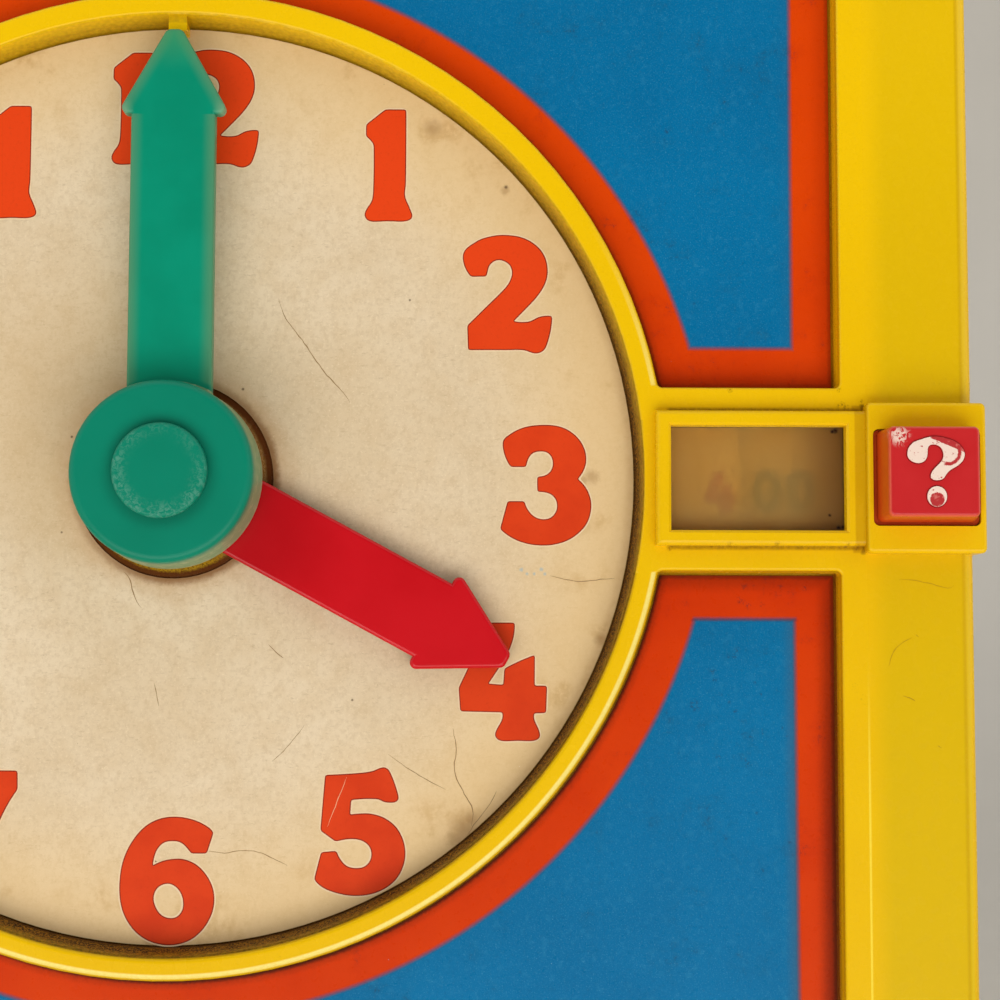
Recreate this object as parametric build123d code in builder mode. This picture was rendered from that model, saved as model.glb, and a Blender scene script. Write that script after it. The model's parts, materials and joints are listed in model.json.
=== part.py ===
from build123d import *
from math import acos, atan2, cos, degrees, hypot, pi, radians, sin, sqrt, tan
import os

# Teaching clock that stands upright. Millimetres, +Z up, the dial faces -Y, +X is 3 o'clock.
# The origin is the middle of the flat underside. Heights called z below are measured from the
# printed face of the dial, positive towards the viewer and negative into the case.

# Dial, ring and hands seen from the front
dial_radius = 78.5
ring_slope = 1.1            # the ring's inner wall leans out by this much
ring_width = 3.6            # flat top of the ring
ring_foot = 0.6             # the ring's outer wall leans out by this much
edge_rounding = 0.5         # top edges of the ring and the recess
window_chamfer = 0.4
rim_height = 5.0            # ring, window bar and rim stand this far above the dial
tab_width = 3.1             # small pointer at 12 o'clock on the ring
tab_reach = 1.7
tab_height = 4.0

# Case
case_depth = 38.0
case_wall = 2.4
case_corner = 9.0
case_edge_rounding = 2.2
bar_width = 18.5            # sloping outer bars
bar_drop = 1.4              # how far the bars fall towards the sides
rim_width = 4.6             # flat rim between the bars and the panel recess
plate_thickness = 2.2
label_thickness = 0.3
label_gap = 0.3
recess_corner = 0.6
recess_draft = 4.0          # degrees
rim_corner = 2.4
cut_over = 1.0              # cuts run this far past the surface they open
window_bar_width = 31.6
collar_radius = 16.6        # raised collar under the hands

# Window, bezel and button block at 3 o'clock
window_inset = 5.6          # from the dial's edge to the window
window_length = 29.1
window_height = 17.4
bezel_border = 2.8
bezel_rounding = 0.8
bezel_height = 7.5
bezel_lip = 2.2             # thickness of the bezel over the carrier
bezel_wall = 0.7            # round the pocket in the bezel
bezel_draft = 1.5           # degrees
block_gap = 3.3             # from the window to the button block
block_wall = 1.05
block_height = 25.2
block_top = 8.6
block_rounding = 0.7
block_corner = 0.9
block_proud = 1.0           # the block stands out of the case's side by this much

# Question button and the slide that carries it
button_travel = 5.5
button_hole_length = 17.9
button_hole_height = 16.2
button_hole_corner = 1.0
button_play = 0.3
button_face = 14.8
button_face_lift = 0.5      # the face sits this much above the middle of the hole
button_top = 14.7
button_wall = 1.8
button_roof = 3.0
button_corner = 0.9
button_rounding = 0.6
button_hollow_draft = 6.0   # degrees
button_peg_width = 8.0
button_peg_length = 4.0
slide_play = 0.3
slide_room = 1.0            # behind the carrier when it is pressed in
carrier_thickness = 2.0
pane_thickness = 1.2
pane_ledge = 0.9            # the pane rests on this much of the carrier all round
pane_border = 0.9           # width of the carrier's frame beside the pane
pane_cover = 0.8            # how far the pane runs past the window towards the button

# Coil spring under the button
spring_wire = 0.8
spring_radius = 3.9         # mean radius of the coil
spring_turns = 6.5
spring_length = 16.0
spring_nipple = 2.0
spring_play = 0.2           # between the coil and the nipples in it
spring_seat_gap = 0.05
spring_post_wall = 1.0      # the post is wider than the coil by this much

# Number discs
hour_view = 12.9            # width of the window that the hour disc fills
disc_margin = 2.8           # how far the minute disc runs past the window
disc_thickness = 1.2
disc_gap = 0.6              # from the front plate to the hour disc
print_thickness = 0.2
print_margin = 0.5          # from the print to a disc's edge
hour_print_lead = 2.0       # the hour print starts this far before the window
minute_print_lead = 4.0     # the minute print starts this far under the hour disc
minute_disc_drop = 3.6      # from the face of the hour disc to the face of the minute disc
well_slope = 2.3            # the wall of the minute disc's well leans by this much
hub_length = 4.8
hub_wall = 4.0
hub_proud = 0.9             # how far the hub stands in front of the well's floor

# Shafts and gears
running_fit = 0.05
shaft_radius = 3.95
sleeve_wall = 1.95
shaft_end_gap = 2.2         # from the shaft's end to the back cover
shaft_chamfer = 0.6
tail_bearing = 4.0          # length of the shaft's tail in the cover's boss
tail_gap = 0.5
sleeve_lead = 1.2           # the sleeve runs past the hour wheel by this much
pressure_angle = 25.0
tooth_addendum = 0.8        # stub teeth, in modules
tooth_dedendum = 1.05
tooth_backlash = 0.16
tooth_sink = 0.3            # each tooth starts this far inside the root circle, in modules
minute_pinion_teeth = 12
intermediate_wheel_teeth = 36
fast_module = 1.0           # module of the pinion on the minute shaft and its wheel
intermediate_pinion_teeth = 10
hour_wheel_teeth = 40
wheel_width = 1.8
hour_wheel_width = 2.8
wheel_room = 1.4            # between the hour wheel and the intermediate wheel
pinion_lead = 0.2           # the minute pinion runs past its wheel by this much
hour_wheel_hub_wall = 3.0
gear_hub_wall = 2.5
gear_gap = 0.3
post_radius = 1.5
post_gap = 0.4              # from the hour disc to the post
post_proud = 0.3            # the post stands past its clip by this much
clip_thickness = 0.5
clip_rim = 1.7
clip_slot = 1.2
clip_play = 0.1
washer_thickness = 0.35
washer_play = 0.1
washer_room = 0.8           # from the bridge to the minute disc's hub

# Bridge between the discs
bridge_width = 24.0
bridge_thickness = 1.2
bridge_foot_width = 37.0
bridge_screw_spacing = 28.0
bridge_lead = 0.5           # from the back of the hour disc to the bridge's arms
bridge_room = 1.2           # from the wheel's back to the bridge's middle
bridge_bend = 1.0
bridge_clearance = 0.7      # from the wheel's teeth to the bridge's steps
well_clearance = 1.0        # from the bridge's steps to the well's wall
foot_gap = 1.9              # from the minute disc's edge to the bosses of the feet

# Hands
hour_hand_reach = 64.5
hour_head_length = 14.4
hour_hand_width = 13.9
hour_barb_width = 18.8
hour_hand_thickness = 2.8
hour_hand_lift = 0.9
hour_hub_radius = 12.0
hour_hand_angle = 118.4     # clockwise from 12
barb_rounding = 1.1
tip_rounding = 1.3
hour_edge_rounding = 0.7
minute_edge_rounding = 0.6
hour_tip_width = 2.6
minute_tip_width = 2.6
minute_hand_reach = 76.0
minute_head_length = 14.6
minute_hand_width = 14.2
minute_barb_width = 19.0
minute_hand_thickness = 2.6
minute_hand_lift = 5.2
cap_radius = 15.0
cap_foot = 0.5              # the cap's skirt widens by this much
cap_top = 15.7
cap_thickness = 2.6
cap_rounding = 1.3
skirt_wall = 1.5
skirt_lift = 4.6
hub_boss_wall = 2.6
plug_radius = 7.8
plug_height = 1.6
plug_rounding = 0.7
plug_stem_radius = 5.0
plug_stem_length = 2.2
head_room = 0.6             # between the plug's stem and the head of the hand's screw
shelf_thickness = 1.2       # under the head of the hand's screw

# Screws
screw_radius = 1.3
screw_head_radius = 2.6
screw_head_height = 1.8
screw_head_chamfer = 0.5
screw_slot_length = 2.6
screw_slot_width = 0.6
screw_slot_depth = 0.9
screw_length = 9.0
hand_screw_length = 7.8
bridge_screw_length = 6.0
pilot_play = 0.05
screw_clearance = 0.2
head_clearance = 0.3
head_sink = 0.2             # the heads lie this far below the cover
boss_radius = 3.6
foot_boss_radius = 3.1
boss_sink = 0.5             # the bosses run this far into the front
corner_gap = 1.5            # from the walls to the bosses in the corners
middle_gap = 0.6            # from the walls to the bosses at the middle
cover_thickness = 2.2
cover_play = 0.3
cover_cup = 1.8             # the cover's screw cups reach this far into the case
cover_rib = 1.6
cover_rib_height = 6.0
cover_ring_radius = 82.5    # round rib
cover_rib_gap = 1.0         # from the ends of the ribs to the screw bosses
tail_boss_radius = 7.0

# Places that follow from the sizes
window_left = dial_radius + window_inset
window_right = window_left + window_length
window_middle = (window_left + window_right) / 2
block_left = window_right + block_gap
hole_left = block_left + block_wall
hole_right = hole_left + button_hole_length
block_right = hole_right + block_wall
block_middle = (block_left + block_right) / 2
case_half = block_right - block_proud
rim_half = case_half - bar_width
recess_half = rim_half - rim_width
inside_half = case_half - case_wall
corner_reach = inside_half - boss_radius - corner_gap
middle_reach = inside_half - boss_radius - middle_gap

ring_top_radius = dial_radius + ring_slope
ring_outer_radius = ring_top_radius + ring_width
back_z = rim_height - case_depth
edge_z = rim_height - bar_drop
plate_back = -label_thickness - plate_thickness
channel_top = edge_z - case_wall
cover_z = back_z + cover_thickness
cup_z = cover_z + cover_cup
cup_floor = back_z + screw_head_height + head_sink
pocket_top = bezel_height - bezel_lip
carrier_top = pocket_top - slide_play
carrier_back = carrier_top - carrier_thickness
pocket_z = carrier_back - button_travel - slide_room
pocket_left = window_left - bezel_border + bezel_wall
pocket_height = window_height + 2 * (bezel_border - bezel_wall)

hour_disc_radius = window_left + hour_view
minute_disc_radius = window_right + disc_margin
hour_disc_z = plate_back - disc_gap
hour_disc_back = hour_disc_z - disc_thickness
minute_disc_z = hour_disc_z - minute_disc_drop
bridge_z = hour_disc_back - bridge_lead
sleeve_radius = shaft_radius + running_fit + sleeve_wall

gear_distance = fast_module * (minute_pinion_teeth + intermediate_wheel_teeth) / 2
slow_module = 2 * gear_distance / (intermediate_pinion_teeth + hour_wheel_teeth)
post_front = hour_disc_back - post_gap
pinion_front = post_front - post_proud - clip_thickness - clip_play
hour_wheel_front = hour_disc_back - gear_gap
hour_wheel_back = hour_wheel_front - hour_wheel_width
sleeve_back = hour_wheel_back - sleeve_lead
wheel_front = hour_wheel_back - wheel_room
wheel_back = wheel_front - wheel_width
well_z = wheel_back - bridge_room
bridge_back = well_z - bridge_thickness
wheel_reach = gear_distance + fast_module * (intermediate_wheel_teeth / 2 + tooth_addendum)
bridge_step = wheel_reach + bridge_clearance + bridge_thickness
bridge_foot_y = minute_disc_radius + foot_boss_radius + foot_gap
well_radius = hypot(bridge_step, bridge_width / 2) + well_clearance
disc_hub_front = bridge_back - washer_room
disc_hub_back = disc_hub_front - hub_length
disc_web_z = disc_hub_front - hub_proud
shaft_end = cover_z + shaft_end_gap

hour_hand_top = hour_hand_lift + hour_hand_thickness
shelf_z = cap_top - plug_stem_length - screw_head_height - head_room
shaft_front = shelf_z - shelf_thickness

button_length = button_hole_length - 2 * button_play
button_height = button_hole_height - 2 * button_play
button_middle = (hole_left + hole_right) / 2
carrier_left = pocket_left + slide_play
carrier_right = hole_right - slide_play
carrier_middle = (carrier_left + carrier_right) / 2
carrier_height = pocket_height - 2 * slide_play
pane_left = carrier_left + pane_border
pane_right = window_right + pane_cover
pane_middle = (pane_left + pane_right) / 2
pane_height = carrier_height - 2 * pane_border
spring_back = carrier_back - spring_length
nipple_radius = spring_radius - spring_wire / 2 - spring_play

dial_y = rim_height - case_depth / 2
axle = Axis((0, 0, case_half), (0, 1, 0))


def level(z, x=0, y=0):
    """Plane parallel to the dial at height z, with its middle at x to the right and y up."""
    return Plane(origin=(x, dial_y - z, case_half + y), x_dir=(1, 0, 0), z_dir=(0, -1, 0))


def section(z, radius):
    """Point of a section through the hands' axis: height z, distance above the axis."""
    return (dial_y - z, case_half + radius)


def edges_at(body, z):
    """Edges of a body that lie flat at height z."""
    return body.edges().filter_by_position(Axis.Y, dial_y - z - 0.001, dial_y - z + 0.001)


def save(part, label):
    """Names a finished piece and writes its file."""
    part.label = label
    export_step(part, f"parts/{label}.step")


def recess_outline(margin):
    """The panel recess round the ring and the window bar, drawn in by a margin."""
    with BuildSketch() as outline:
        Rectangle(2 * recess_half, 2 * recess_half)
        Circle(ring_outer_radius + ring_foot, mode=Mode.SUBTRACT)
        with Locations((recess_half, 0)):
            Rectangle(2 * (recess_half - dial_radius), window_bar_width, mode=Mode.SUBTRACT)
        fillet(outline.vertices(), recess_corner)
        if margin:
            offset(amount=-margin)
    return outline.sketch


def cover_places():
    """Cover screws: one in each corner, and one at the middle of the top and of the underside."""
    corners = [(x, y) for x in (-corner_reach, corner_reach) for y in (-corner_reach, corner_reach)]
    return corners + [(0, middle_reach), (0, -middle_reach)]


def bridge_places():
    """Screws of the bridge's two feet."""
    half = bridge_screw_spacing / 2
    return [(x, y) for x in (-half, half) for y in (-bridge_foot_y, bridge_foot_y)]


def gear_outline(teeth, module, first_tooth):
    """Spur gear with stub teeth, one of them centred at the angle first_tooth, in degrees."""
    pitch = module * teeth / 2
    base = pitch * cos(radians(pressure_angle))
    root = pitch - tooth_dedendum * module
    tip = pitch + tooth_addendum * module
    half_pitch_angle = (pi * module / 2 - tooth_backlash) / 2 / pitch

    def flank(radius, side):
        """Point of the involute flank at a radius, on one side of the tooth."""
        at_pitch = radians(pressure_angle)
        here = acos(min(1.0, base / radius))
        angle = half_pitch_angle + (tan(at_pitch) - at_pitch) - (tan(here) - here)
        return (radius * cos(side * angle), radius * sin(side * angle))

    low = max(base, root)
    middle = (low + tip) / 2
    inner = root - tooth_sink * module
    with BuildSketch() as tooth:
        with BuildLine():
            left = flank(low, 1)
            right = flank(low, -1)
            foot_left = (left[0] * inner / low, left[1] * inner / low)
            foot_right = (right[0] * inner / low, right[1] * inner / low)
            Polyline(left, foot_left, foot_right, right)
            ThreePointArc(right, flank(middle, -1), flank(tip, -1))
            Line(flank(tip, -1), flank(tip, 1))
            ThreePointArc(flank(tip, 1), flank(middle, 1), left)
        make_face()
    with BuildSketch() as outline:
        Circle(root)
        with PolarLocations(0, teeth, start_angle=first_tooth):
            add(tooth.sketch)
    return outline.sketch


def arrow_outline(reach, head_length, width, barb_width, tip_width):
    """Arrow hand that points along +Y: a straight arm, two square barbs and a blunt tip."""
    barb_reach = reach - head_length
    with BuildSketch() as outline:
        with BuildLine():
            Polyline(
                (-width / 2, 0),
                (-width / 2, barb_reach),
                (-barb_width / 2, barb_reach),
                (-tip_width / 2, reach),
                (tip_width / 2, reach),
                (barb_width / 2, barb_reach),
                (width / 2, barb_reach),
                (width / 2, 0),
                close=True,
            )
        make_face()
        barbs = outline.vertices().sort_by(Axis.X)
        fillet([barbs[0], barbs[-1]], barb_rounding)
        fillet(outline.vertices().group_by(Axis.Y)[-1], tip_rounding)
    return outline.sketch


def clip_outline(radius):
    """Open push-on ring for a shaft of this radius."""
    with BuildSketch() as outline:
        Circle(radius + clip_rim)
        Circle(radius, mode=Mode.SUBTRACT)
        with Locations((0, radius + clip_rim)):
            Rectangle(clip_slot, 2 * (radius + clip_rim), mode=Mode.SUBTRACT)
    return outline.sketch


def screw(length, head_up):
    """Pan-head screw along local z, its seat at z = 0 and its head on the side head_up."""
    with BuildPart() as body:
        with BuildSketch():
            Circle(screw_head_radius)
        extrude(amount=head_up * screw_head_height)
        outer = body.edges().group_by(Axis.Z)[-1 if head_up > 0 else 0]
        chamfer(outer, screw_head_chamfer)
        with BuildSketch(Plane.XY.offset(head_up * screw_head_height)):
            Rectangle(screw_slot_length, screw_slot_width)
            Rectangle(screw_slot_width, screw_slot_length)
        extrude(amount=-head_up * screw_slot_depth, mode=Mode.SUBTRACT)
        with BuildSketch():
            Circle(screw_radius)
        extrude(amount=-head_up * length)
    return body.part


# Front housing: one yellow moulding, open at the back.
with BuildPart() as front_housing:
    with BuildSketch(level(back_z)):
        RectangleRounded(2 * case_half, 2 * case_half, case_corner)
    extrude(amount=edge_z - back_z)
    with BuildSketch(level(edge_z)):
        RectangleRounded(2 * case_half, 2 * case_half, case_corner)
    with BuildSketch(level(rim_height)):
        RectangleRounded(2 * rim_half, 2 * rim_half, rim_corner)
    loft(ruled=True)
    fillet(edges_at(front_housing, edge_z), case_edge_rounding)

    # Panel recess, dial recess and the collar under the hands
    with BuildSketch(level(-label_thickness)):
        add(recess_outline(0))
    extrude(
        amount=rim_height + label_thickness + cut_over,
        taper=-recess_draft,
        mode=Mode.SUBTRACT,
    )
    with BuildSketch(level(-label_thickness)):
        Circle(dial_radius)
    extrude(amount=label_thickness, mode=Mode.SUBTRACT)
    with BuildSketch(level(0)):
        Circle(dial_radius)
    extrude(
        amount=rim_height + cut_over,
        taper=-degrees(atan2(ring_slope, rim_height)),
        mode=Mode.SUBTRACT,
    )
    with BuildSketch(level(-label_thickness)):
        Circle(collar_radius)
    extrude(amount=label_thickness)
    between = (recess_half + rim_half) / 2
    rounded = edges_at(front_housing, rim_height).filter_by(
        lambda edge: max(abs(edge.center().X), abs(edge.center().Z - case_half)) < between
    )
    fillet(rounded, edge_rounding)
    with BuildSketch(level(0, 0, dial_radius)):
        Rectangle(tab_width, 2 * tab_reach)
    extrude(amount=tab_height)

    # Bezel and button block
    bezel_left = window_left - bezel_border
    with BuildSketch(level(0, (bezel_left + block_middle) / 2)):
        Rectangle(block_middle - bezel_left, window_height + 2 * bezel_border)
    extrude(amount=bezel_height, taper=bezel_draft)
    fillet(edges_at(front_housing, bezel_height), bezel_rounding)
    with BuildSketch(level(back_z, block_middle)):
        RectangleRounded(block_right - block_left, block_height, block_corner)
    extrude(amount=block_top - back_z)
    fillet(front_housing.faces().sort_by(Axis.Y)[0].edges(), block_rounding)

    # Inside of the shell, with a channel under the raised bars
    with BuildSketch(level(back_z)):
        RectangleRounded(2 * inside_half, 2 * inside_half, case_corner - case_wall)
    extrude(amount=plate_back - back_z, mode=Mode.SUBTRACT)
    with BuildSketch(level(plate_back)):
        RectangleRounded(2 * inside_half, 2 * inside_half, case_corner - case_wall)
        Rectangle(2 * (recess_half - case_wall), 2 * (recess_half - case_wall), mode=Mode.SUBTRACT)
    extrude(amount=channel_top - plate_back, mode=Mode.SUBTRACT)

    # Pocket in which the pane carrier slides, the window and the button's hole
    with BuildSketch(level(pocket_z, (pocket_left + hole_right) / 2)):
        Rectangle(hole_right - pocket_left, pocket_height)
    extrude(amount=pocket_top - pocket_z, mode=Mode.SUBTRACT)
    with BuildSketch(level(pocket_top, window_middle)):
        Rectangle(window_length, window_height)
    extrude(amount=bezel_lip + cut_over, taper=-recess_draft, mode=Mode.SUBTRACT)
    window_rim = edges_at(front_housing, bezel_height).filter_by(
        lambda edge: abs(edge.center().Z - case_half) < (window_height + bezel_border) / 2
        and abs(edge.center().X - window_middle) < (window_length + bezel_border) / 2
    )
    chamfer(window_rim, window_chamfer)
    with BuildSketch(level(pocket_top, button_middle)):
        RectangleRounded(button_hole_length, button_hole_height, button_hole_corner)
    extrude(amount=block_top, mode=Mode.SUBTRACT)

    # Bosses for the cover's and the bridge's screws, and their pilot holes
    with BuildSketch(level(cup_z)):
        with Locations(*cover_places()):
            Circle(boss_radius)
    extrude(amount=channel_top + boss_sink - cup_z)
    with BuildSketch(level(bridge_z)):
        with Locations(*bridge_places()):
            Circle(foot_boss_radius)
    extrude(amount=channel_top + boss_sink - bridge_z)
    with BuildSketch(level(cup_z)):
        with Locations(*cover_places()):
            Circle(screw_radius + pilot_play)
    extrude(amount=screw_length, mode=Mode.SUBTRACT)
    with BuildSketch(level(bridge_z)):
        with Locations(*bridge_places()):
            Circle(screw_radius + pilot_play)
    extrude(amount=bridge_screw_length, mode=Mode.SUBTRACT)

    # Bearing of the hour sleeve through the front plate
    with BuildSketch(level(plate_back)):
        Circle(sleeve_radius + running_fit)
    extrude(amount=-plate_back, mode=Mode.SUBTRACT)

# Printed labels in their recesses
with BuildPart() as dial_label:
    with BuildSketch(level(-label_thickness)):
        Circle(dial_radius - label_gap)
        Circle(collar_radius + label_gap, mode=Mode.SUBTRACT)
    extrude(amount=label_thickness)

with BuildPart() as panel_label:
    with BuildSketch(level(-label_thickness)):
        add(recess_outline(label_gap))
    extrude(amount=label_thickness)

# Hour hand: flat glossy arrow with rounded edges, pressed on the hour sleeve
hour_arrow = arrow_outline(
    hour_hand_reach,
    hour_head_length,
    hour_hand_width,
    hour_barb_width,
    hour_tip_width,
)
with BuildPart() as hour_hand:
    with BuildSketch(level(hour_hand_lift)):
        Circle(hour_hub_radius)
        add(hour_arrow, rotation=-hour_hand_angle)
    extrude(amount=hour_hand_thickness)
    fillet(hour_hand.faces().sort_by(Axis.Y)[0].edges(), hour_edge_rounding)
    with BuildSketch(level(hour_hand_lift)):
        Circle(sleeve_radius)
    extrude(amount=hour_hand_thickness, mode=Mode.SUBTRACT)

# Minute hand: arrow that grows out of a hollow hub cap with a central boss
minute_arrow = arrow_outline(
    minute_hand_reach,
    minute_head_length,
    minute_hand_width,
    minute_barb_width,
    minute_tip_width,
)
with BuildPart() as minute_hand:
    with BuildSketch(level(minute_hand_lift)):
        add(minute_arrow)
    extrude(amount=minute_hand_thickness)
    fillet(minute_hand.faces().sort_by(Axis.Y)[0].edges(), minute_edge_rounding)
    with BuildSketch(level(skirt_lift)):
        Circle(cap_radius + cap_foot)
    extrude(amount=cap_top - skirt_lift, taper=degrees(atan2(cap_foot, cap_top - skirt_lift)))
    fillet(minute_hand.edges().group_by(Axis.Y)[0], cap_rounding)
    with BuildSketch(level(skirt_lift)):
        Circle(cap_radius + cap_foot - skirt_wall)
        Circle(shaft_radius + hub_boss_wall, mode=Mode.SUBTRACT)
    extrude(amount=cap_top - cap_thickness - skirt_lift, mode=Mode.SUBTRACT)
    with BuildSketch(level(skirt_lift)):
        Circle(shaft_radius)
    extrude(amount=shaft_front - skirt_lift, mode=Mode.SUBTRACT)
    with BuildSketch(level(shaft_front)):
        Circle(screw_radius + screw_clearance)
    extrude(amount=shelf_thickness, mode=Mode.SUBTRACT)
    with BuildSketch(level(shelf_z)):
        Circle(plug_stem_radius)
    extrude(amount=cap_top - shelf_z, mode=Mode.SUBTRACT)

with BuildPart() as hub_plug:
    with BuildSketch(level(cap_top)):
        Circle(plug_radius)
    extrude(amount=plug_height)
    fillet(hub_plug.edges().group_by(Axis.Y)[0], plug_rounding)
    with BuildSketch(level(cap_top - plug_stem_length)):
        Circle(plug_stem_radius)
    extrude(amount=plug_stem_length)

# Minute shaft with a tapped front end, and the hour sleeve that runs on it
with BuildPart() as minute_shaft:
    with BuildSketch(level(shaft_end)):
        Circle(shaft_radius)
    extrude(amount=shaft_front - shaft_end)
    chamfer(minute_shaft.edges().group_by(Axis.Y)[-1], shaft_chamfer)
    with BuildSketch(level(shaft_front)):
        Circle(screw_radius + pilot_play)
    extrude(amount=-screw_length, mode=Mode.SUBTRACT)

with BuildPart() as hour_sleeve:
    with BuildSketch(level(sleeve_back)):
        Circle(sleeve_radius)
        Circle(shaft_radius + running_fit, mode=Mode.SUBTRACT)
    extrude(amount=hour_hand_top - sleeve_back)

# Motion work: pinion on the shaft, intermediate wheel with its pinion, hour wheel on the sleeve
with BuildPart() as minute_pinion:
    with BuildSketch(level(wheel_back - pinion_lead)):
        add(gear_outline(minute_pinion_teeth, fast_module, 90))
        Circle(shaft_radius, mode=Mode.SUBTRACT)
    extrude(amount=wheel_width + pinion_lead)

with BuildPart() as intermediate_gear:
    with BuildSketch(level(wheel_back, 0, gear_distance)):
        add(gear_outline(intermediate_wheel_teeth, fast_module, 180 / intermediate_wheel_teeth - 90))
    extrude(amount=wheel_width)
    with BuildSketch(level(wheel_front, 0, gear_distance)):
        add(gear_outline(intermediate_pinion_teeth, slow_module, 180 / intermediate_pinion_teeth - 90))
    extrude(amount=pinion_front - wheel_front)
    with BuildSketch(level(well_z + gear_gap, 0, gear_distance)):
        Circle(post_radius + gear_hub_wall)
    extrude(amount=bridge_room - gear_gap)
    with BuildSketch(level(well_z, 0, gear_distance)):
        Circle(post_radius + running_fit)
    extrude(amount=pinion_front - well_z, mode=Mode.SUBTRACT)

with BuildPart() as hour_wheel:
    with BuildSketch(level(hour_wheel_back)):
        add(gear_outline(hour_wheel_teeth, slow_module, 90))
    extrude(amount=hour_wheel_width)
    with BuildSketch(level(hour_wheel_front)):
        Circle(sleeve_radius + hour_wheel_hub_wall)
    extrude(amount=gear_gap)
    with BuildSketch(level(hour_wheel_back)):
        Circle(sleeve_radius)
    extrude(amount=hour_wheel_width + gear_gap, mode=Mode.SUBTRACT)

# Number discs: a flat one for the hours, and a dished one for the minutes behind it
with BuildPart() as hour_disc:
    with BuildSketch(level(hour_disc_back)):
        Circle(hour_disc_radius)
        Circle(sleeve_radius, mode=Mode.SUBTRACT)
    extrude(amount=disc_thickness)

with BuildPart() as minute_disc:
    with BuildSketch(Plane.YZ):
        with BuildLine():
            hub_radius = shaft_radius + hub_wall
            well_mouth = well_radius + well_slope
            Polyline(
                section(disc_hub_front, shaft_radius),
                section(disc_hub_front, hub_radius),
                section(disc_web_z, hub_radius),
                section(disc_web_z, well_radius),
                section(minute_disc_z, well_mouth),
                section(minute_disc_z, minute_disc_radius),
                section(minute_disc_z - disc_thickness, minute_disc_radius),
                section(minute_disc_z - disc_thickness, well_mouth + disc_thickness),
                section(disc_web_z - disc_thickness, well_radius + disc_thickness),
                section(disc_web_z - disc_thickness, hub_radius),
                section(disc_hub_back, hub_radius),
                section(disc_hub_back, shaft_radius),
                close=True,
            )
        make_face()
    revolve(axis=axle)

with BuildPart() as hour_number_ring:
    with BuildSketch(level(hour_disc_z)):
        Circle(hour_disc_radius - print_margin)
        Circle(window_left - hour_print_lead, mode=Mode.SUBTRACT)
    extrude(amount=print_thickness)

with BuildPart() as minute_number_ring:
    with BuildSketch(level(minute_disc_z)):
        Circle(minute_disc_radius - print_margin)
        Circle(hour_disc_radius - minute_print_lead, mode=Mode.SUBTRACT)
    extrude(amount=print_thickness)

# Bridge: a steel strap with two feet, which steps back round the gears
with BuildPart() as movement_bridge:
    with BuildSketch(Plane.YZ.offset(-bridge_width / 2)):
        with BuildLine():
            inner = bridge_step - bridge_thickness
            arm_back = bridge_z - bridge_thickness
            Polyline(
                section(bridge_z, -bridge_foot_y),
                section(bridge_z, -inner),
                section(well_z, -inner),
                section(well_z, inner),
                section(bridge_z, inner),
                section(bridge_z, bridge_foot_y),
                section(arm_back, bridge_foot_y),
                section(arm_back, bridge_step),
                section(bridge_back, bridge_step),
                section(bridge_back, -bridge_step),
                section(arm_back, -bridge_step),
                section(arm_back, -bridge_foot_y),
                close=True,
            )
        make_face()
    extrude(amount=bridge_width)
    fillet(movement_bridge.edges().filter_by(Axis.X).group_by(Axis.Y)[-1], bridge_bend)
    with BuildSketch(level(bridge_z)):
        with Locations((0, bridge_foot_y), (0, -bridge_foot_y)):
            Rectangle(bridge_foot_width, 2 * foot_boss_radius)
    extrude(amount=-bridge_thickness)
    with BuildSketch(level(bridge_back)):
        Circle(shaft_radius + running_fit)
        with Locations((0, gear_distance)):
            Circle(post_radius)
    extrude(amount=bridge_thickness, mode=Mode.SUBTRACT)
    with BuildSketch(level(bridge_z)):
        with Locations(*bridge_places()):
            Circle(screw_radius + screw_clearance)
    extrude(amount=-bridge_thickness, mode=Mode.SUBTRACT)

# Small hardware of the movement
with BuildPart() as gear_post:
    with BuildSketch(level(bridge_back, 0, gear_distance)):
        Circle(post_radius)
    extrude(amount=post_front - bridge_back)

with BuildPart() as post_clip:
    with BuildSketch(level(pinion_front + clip_play, 0, gear_distance)):
        add(clip_outline(post_radius))
    extrude(amount=clip_thickness)

with BuildPart() as friction_washer:
    with BuildSketch(Plane.YZ):
        with BuildLine():
            rest_z = bridge_back - washer_play
            hub_radius = shaft_radius + hub_wall
            Polyline(
                section(disc_hub_front, shaft_radius + washer_play),
                section(disc_hub_front + washer_thickness, shaft_radius + washer_play),
                section(rest_z, hub_radius),
                section(rest_z - washer_thickness, hub_radius),
                close=True,
            )
        make_face()
    revolve(axis=axle)

with BuildPart() as shaft_clip:
    with BuildSketch(level(disc_hub_back - clip_play - clip_thickness)):
        add(clip_outline(shaft_radius))
    extrude(amount=clip_thickness)

# Question button: hollow square cap with drafted sides, on a peg of the carrier
with BuildPart() as question_button:
    with BuildSketch(level(carrier_top, button_middle)):
        RectangleRounded(button_length, button_height, button_corner)
    with BuildSketch(level(button_top, button_middle, button_face_lift)):
        RectangleRounded(button_face, button_face, button_corner)
    loft(ruled=True)
    fillet(question_button.edges().group_by(Axis.Y)[0], button_rounding)
    with BuildSketch(level(carrier_top, button_middle)):
        Rectangle(button_length - 2 * button_wall, button_height - 2 * button_wall)
    extrude(
        amount=button_top - button_roof - carrier_top,
        taper=button_hollow_draft,
        mode=Mode.SUBTRACT,
    )
    with BuildSketch(level(carrier_top + button_peg_length, button_middle)):
        Circle(button_peg_width / 2)
    extrude(amount=button_top - button_roof / 2 - carrier_top - button_peg_length)

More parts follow.
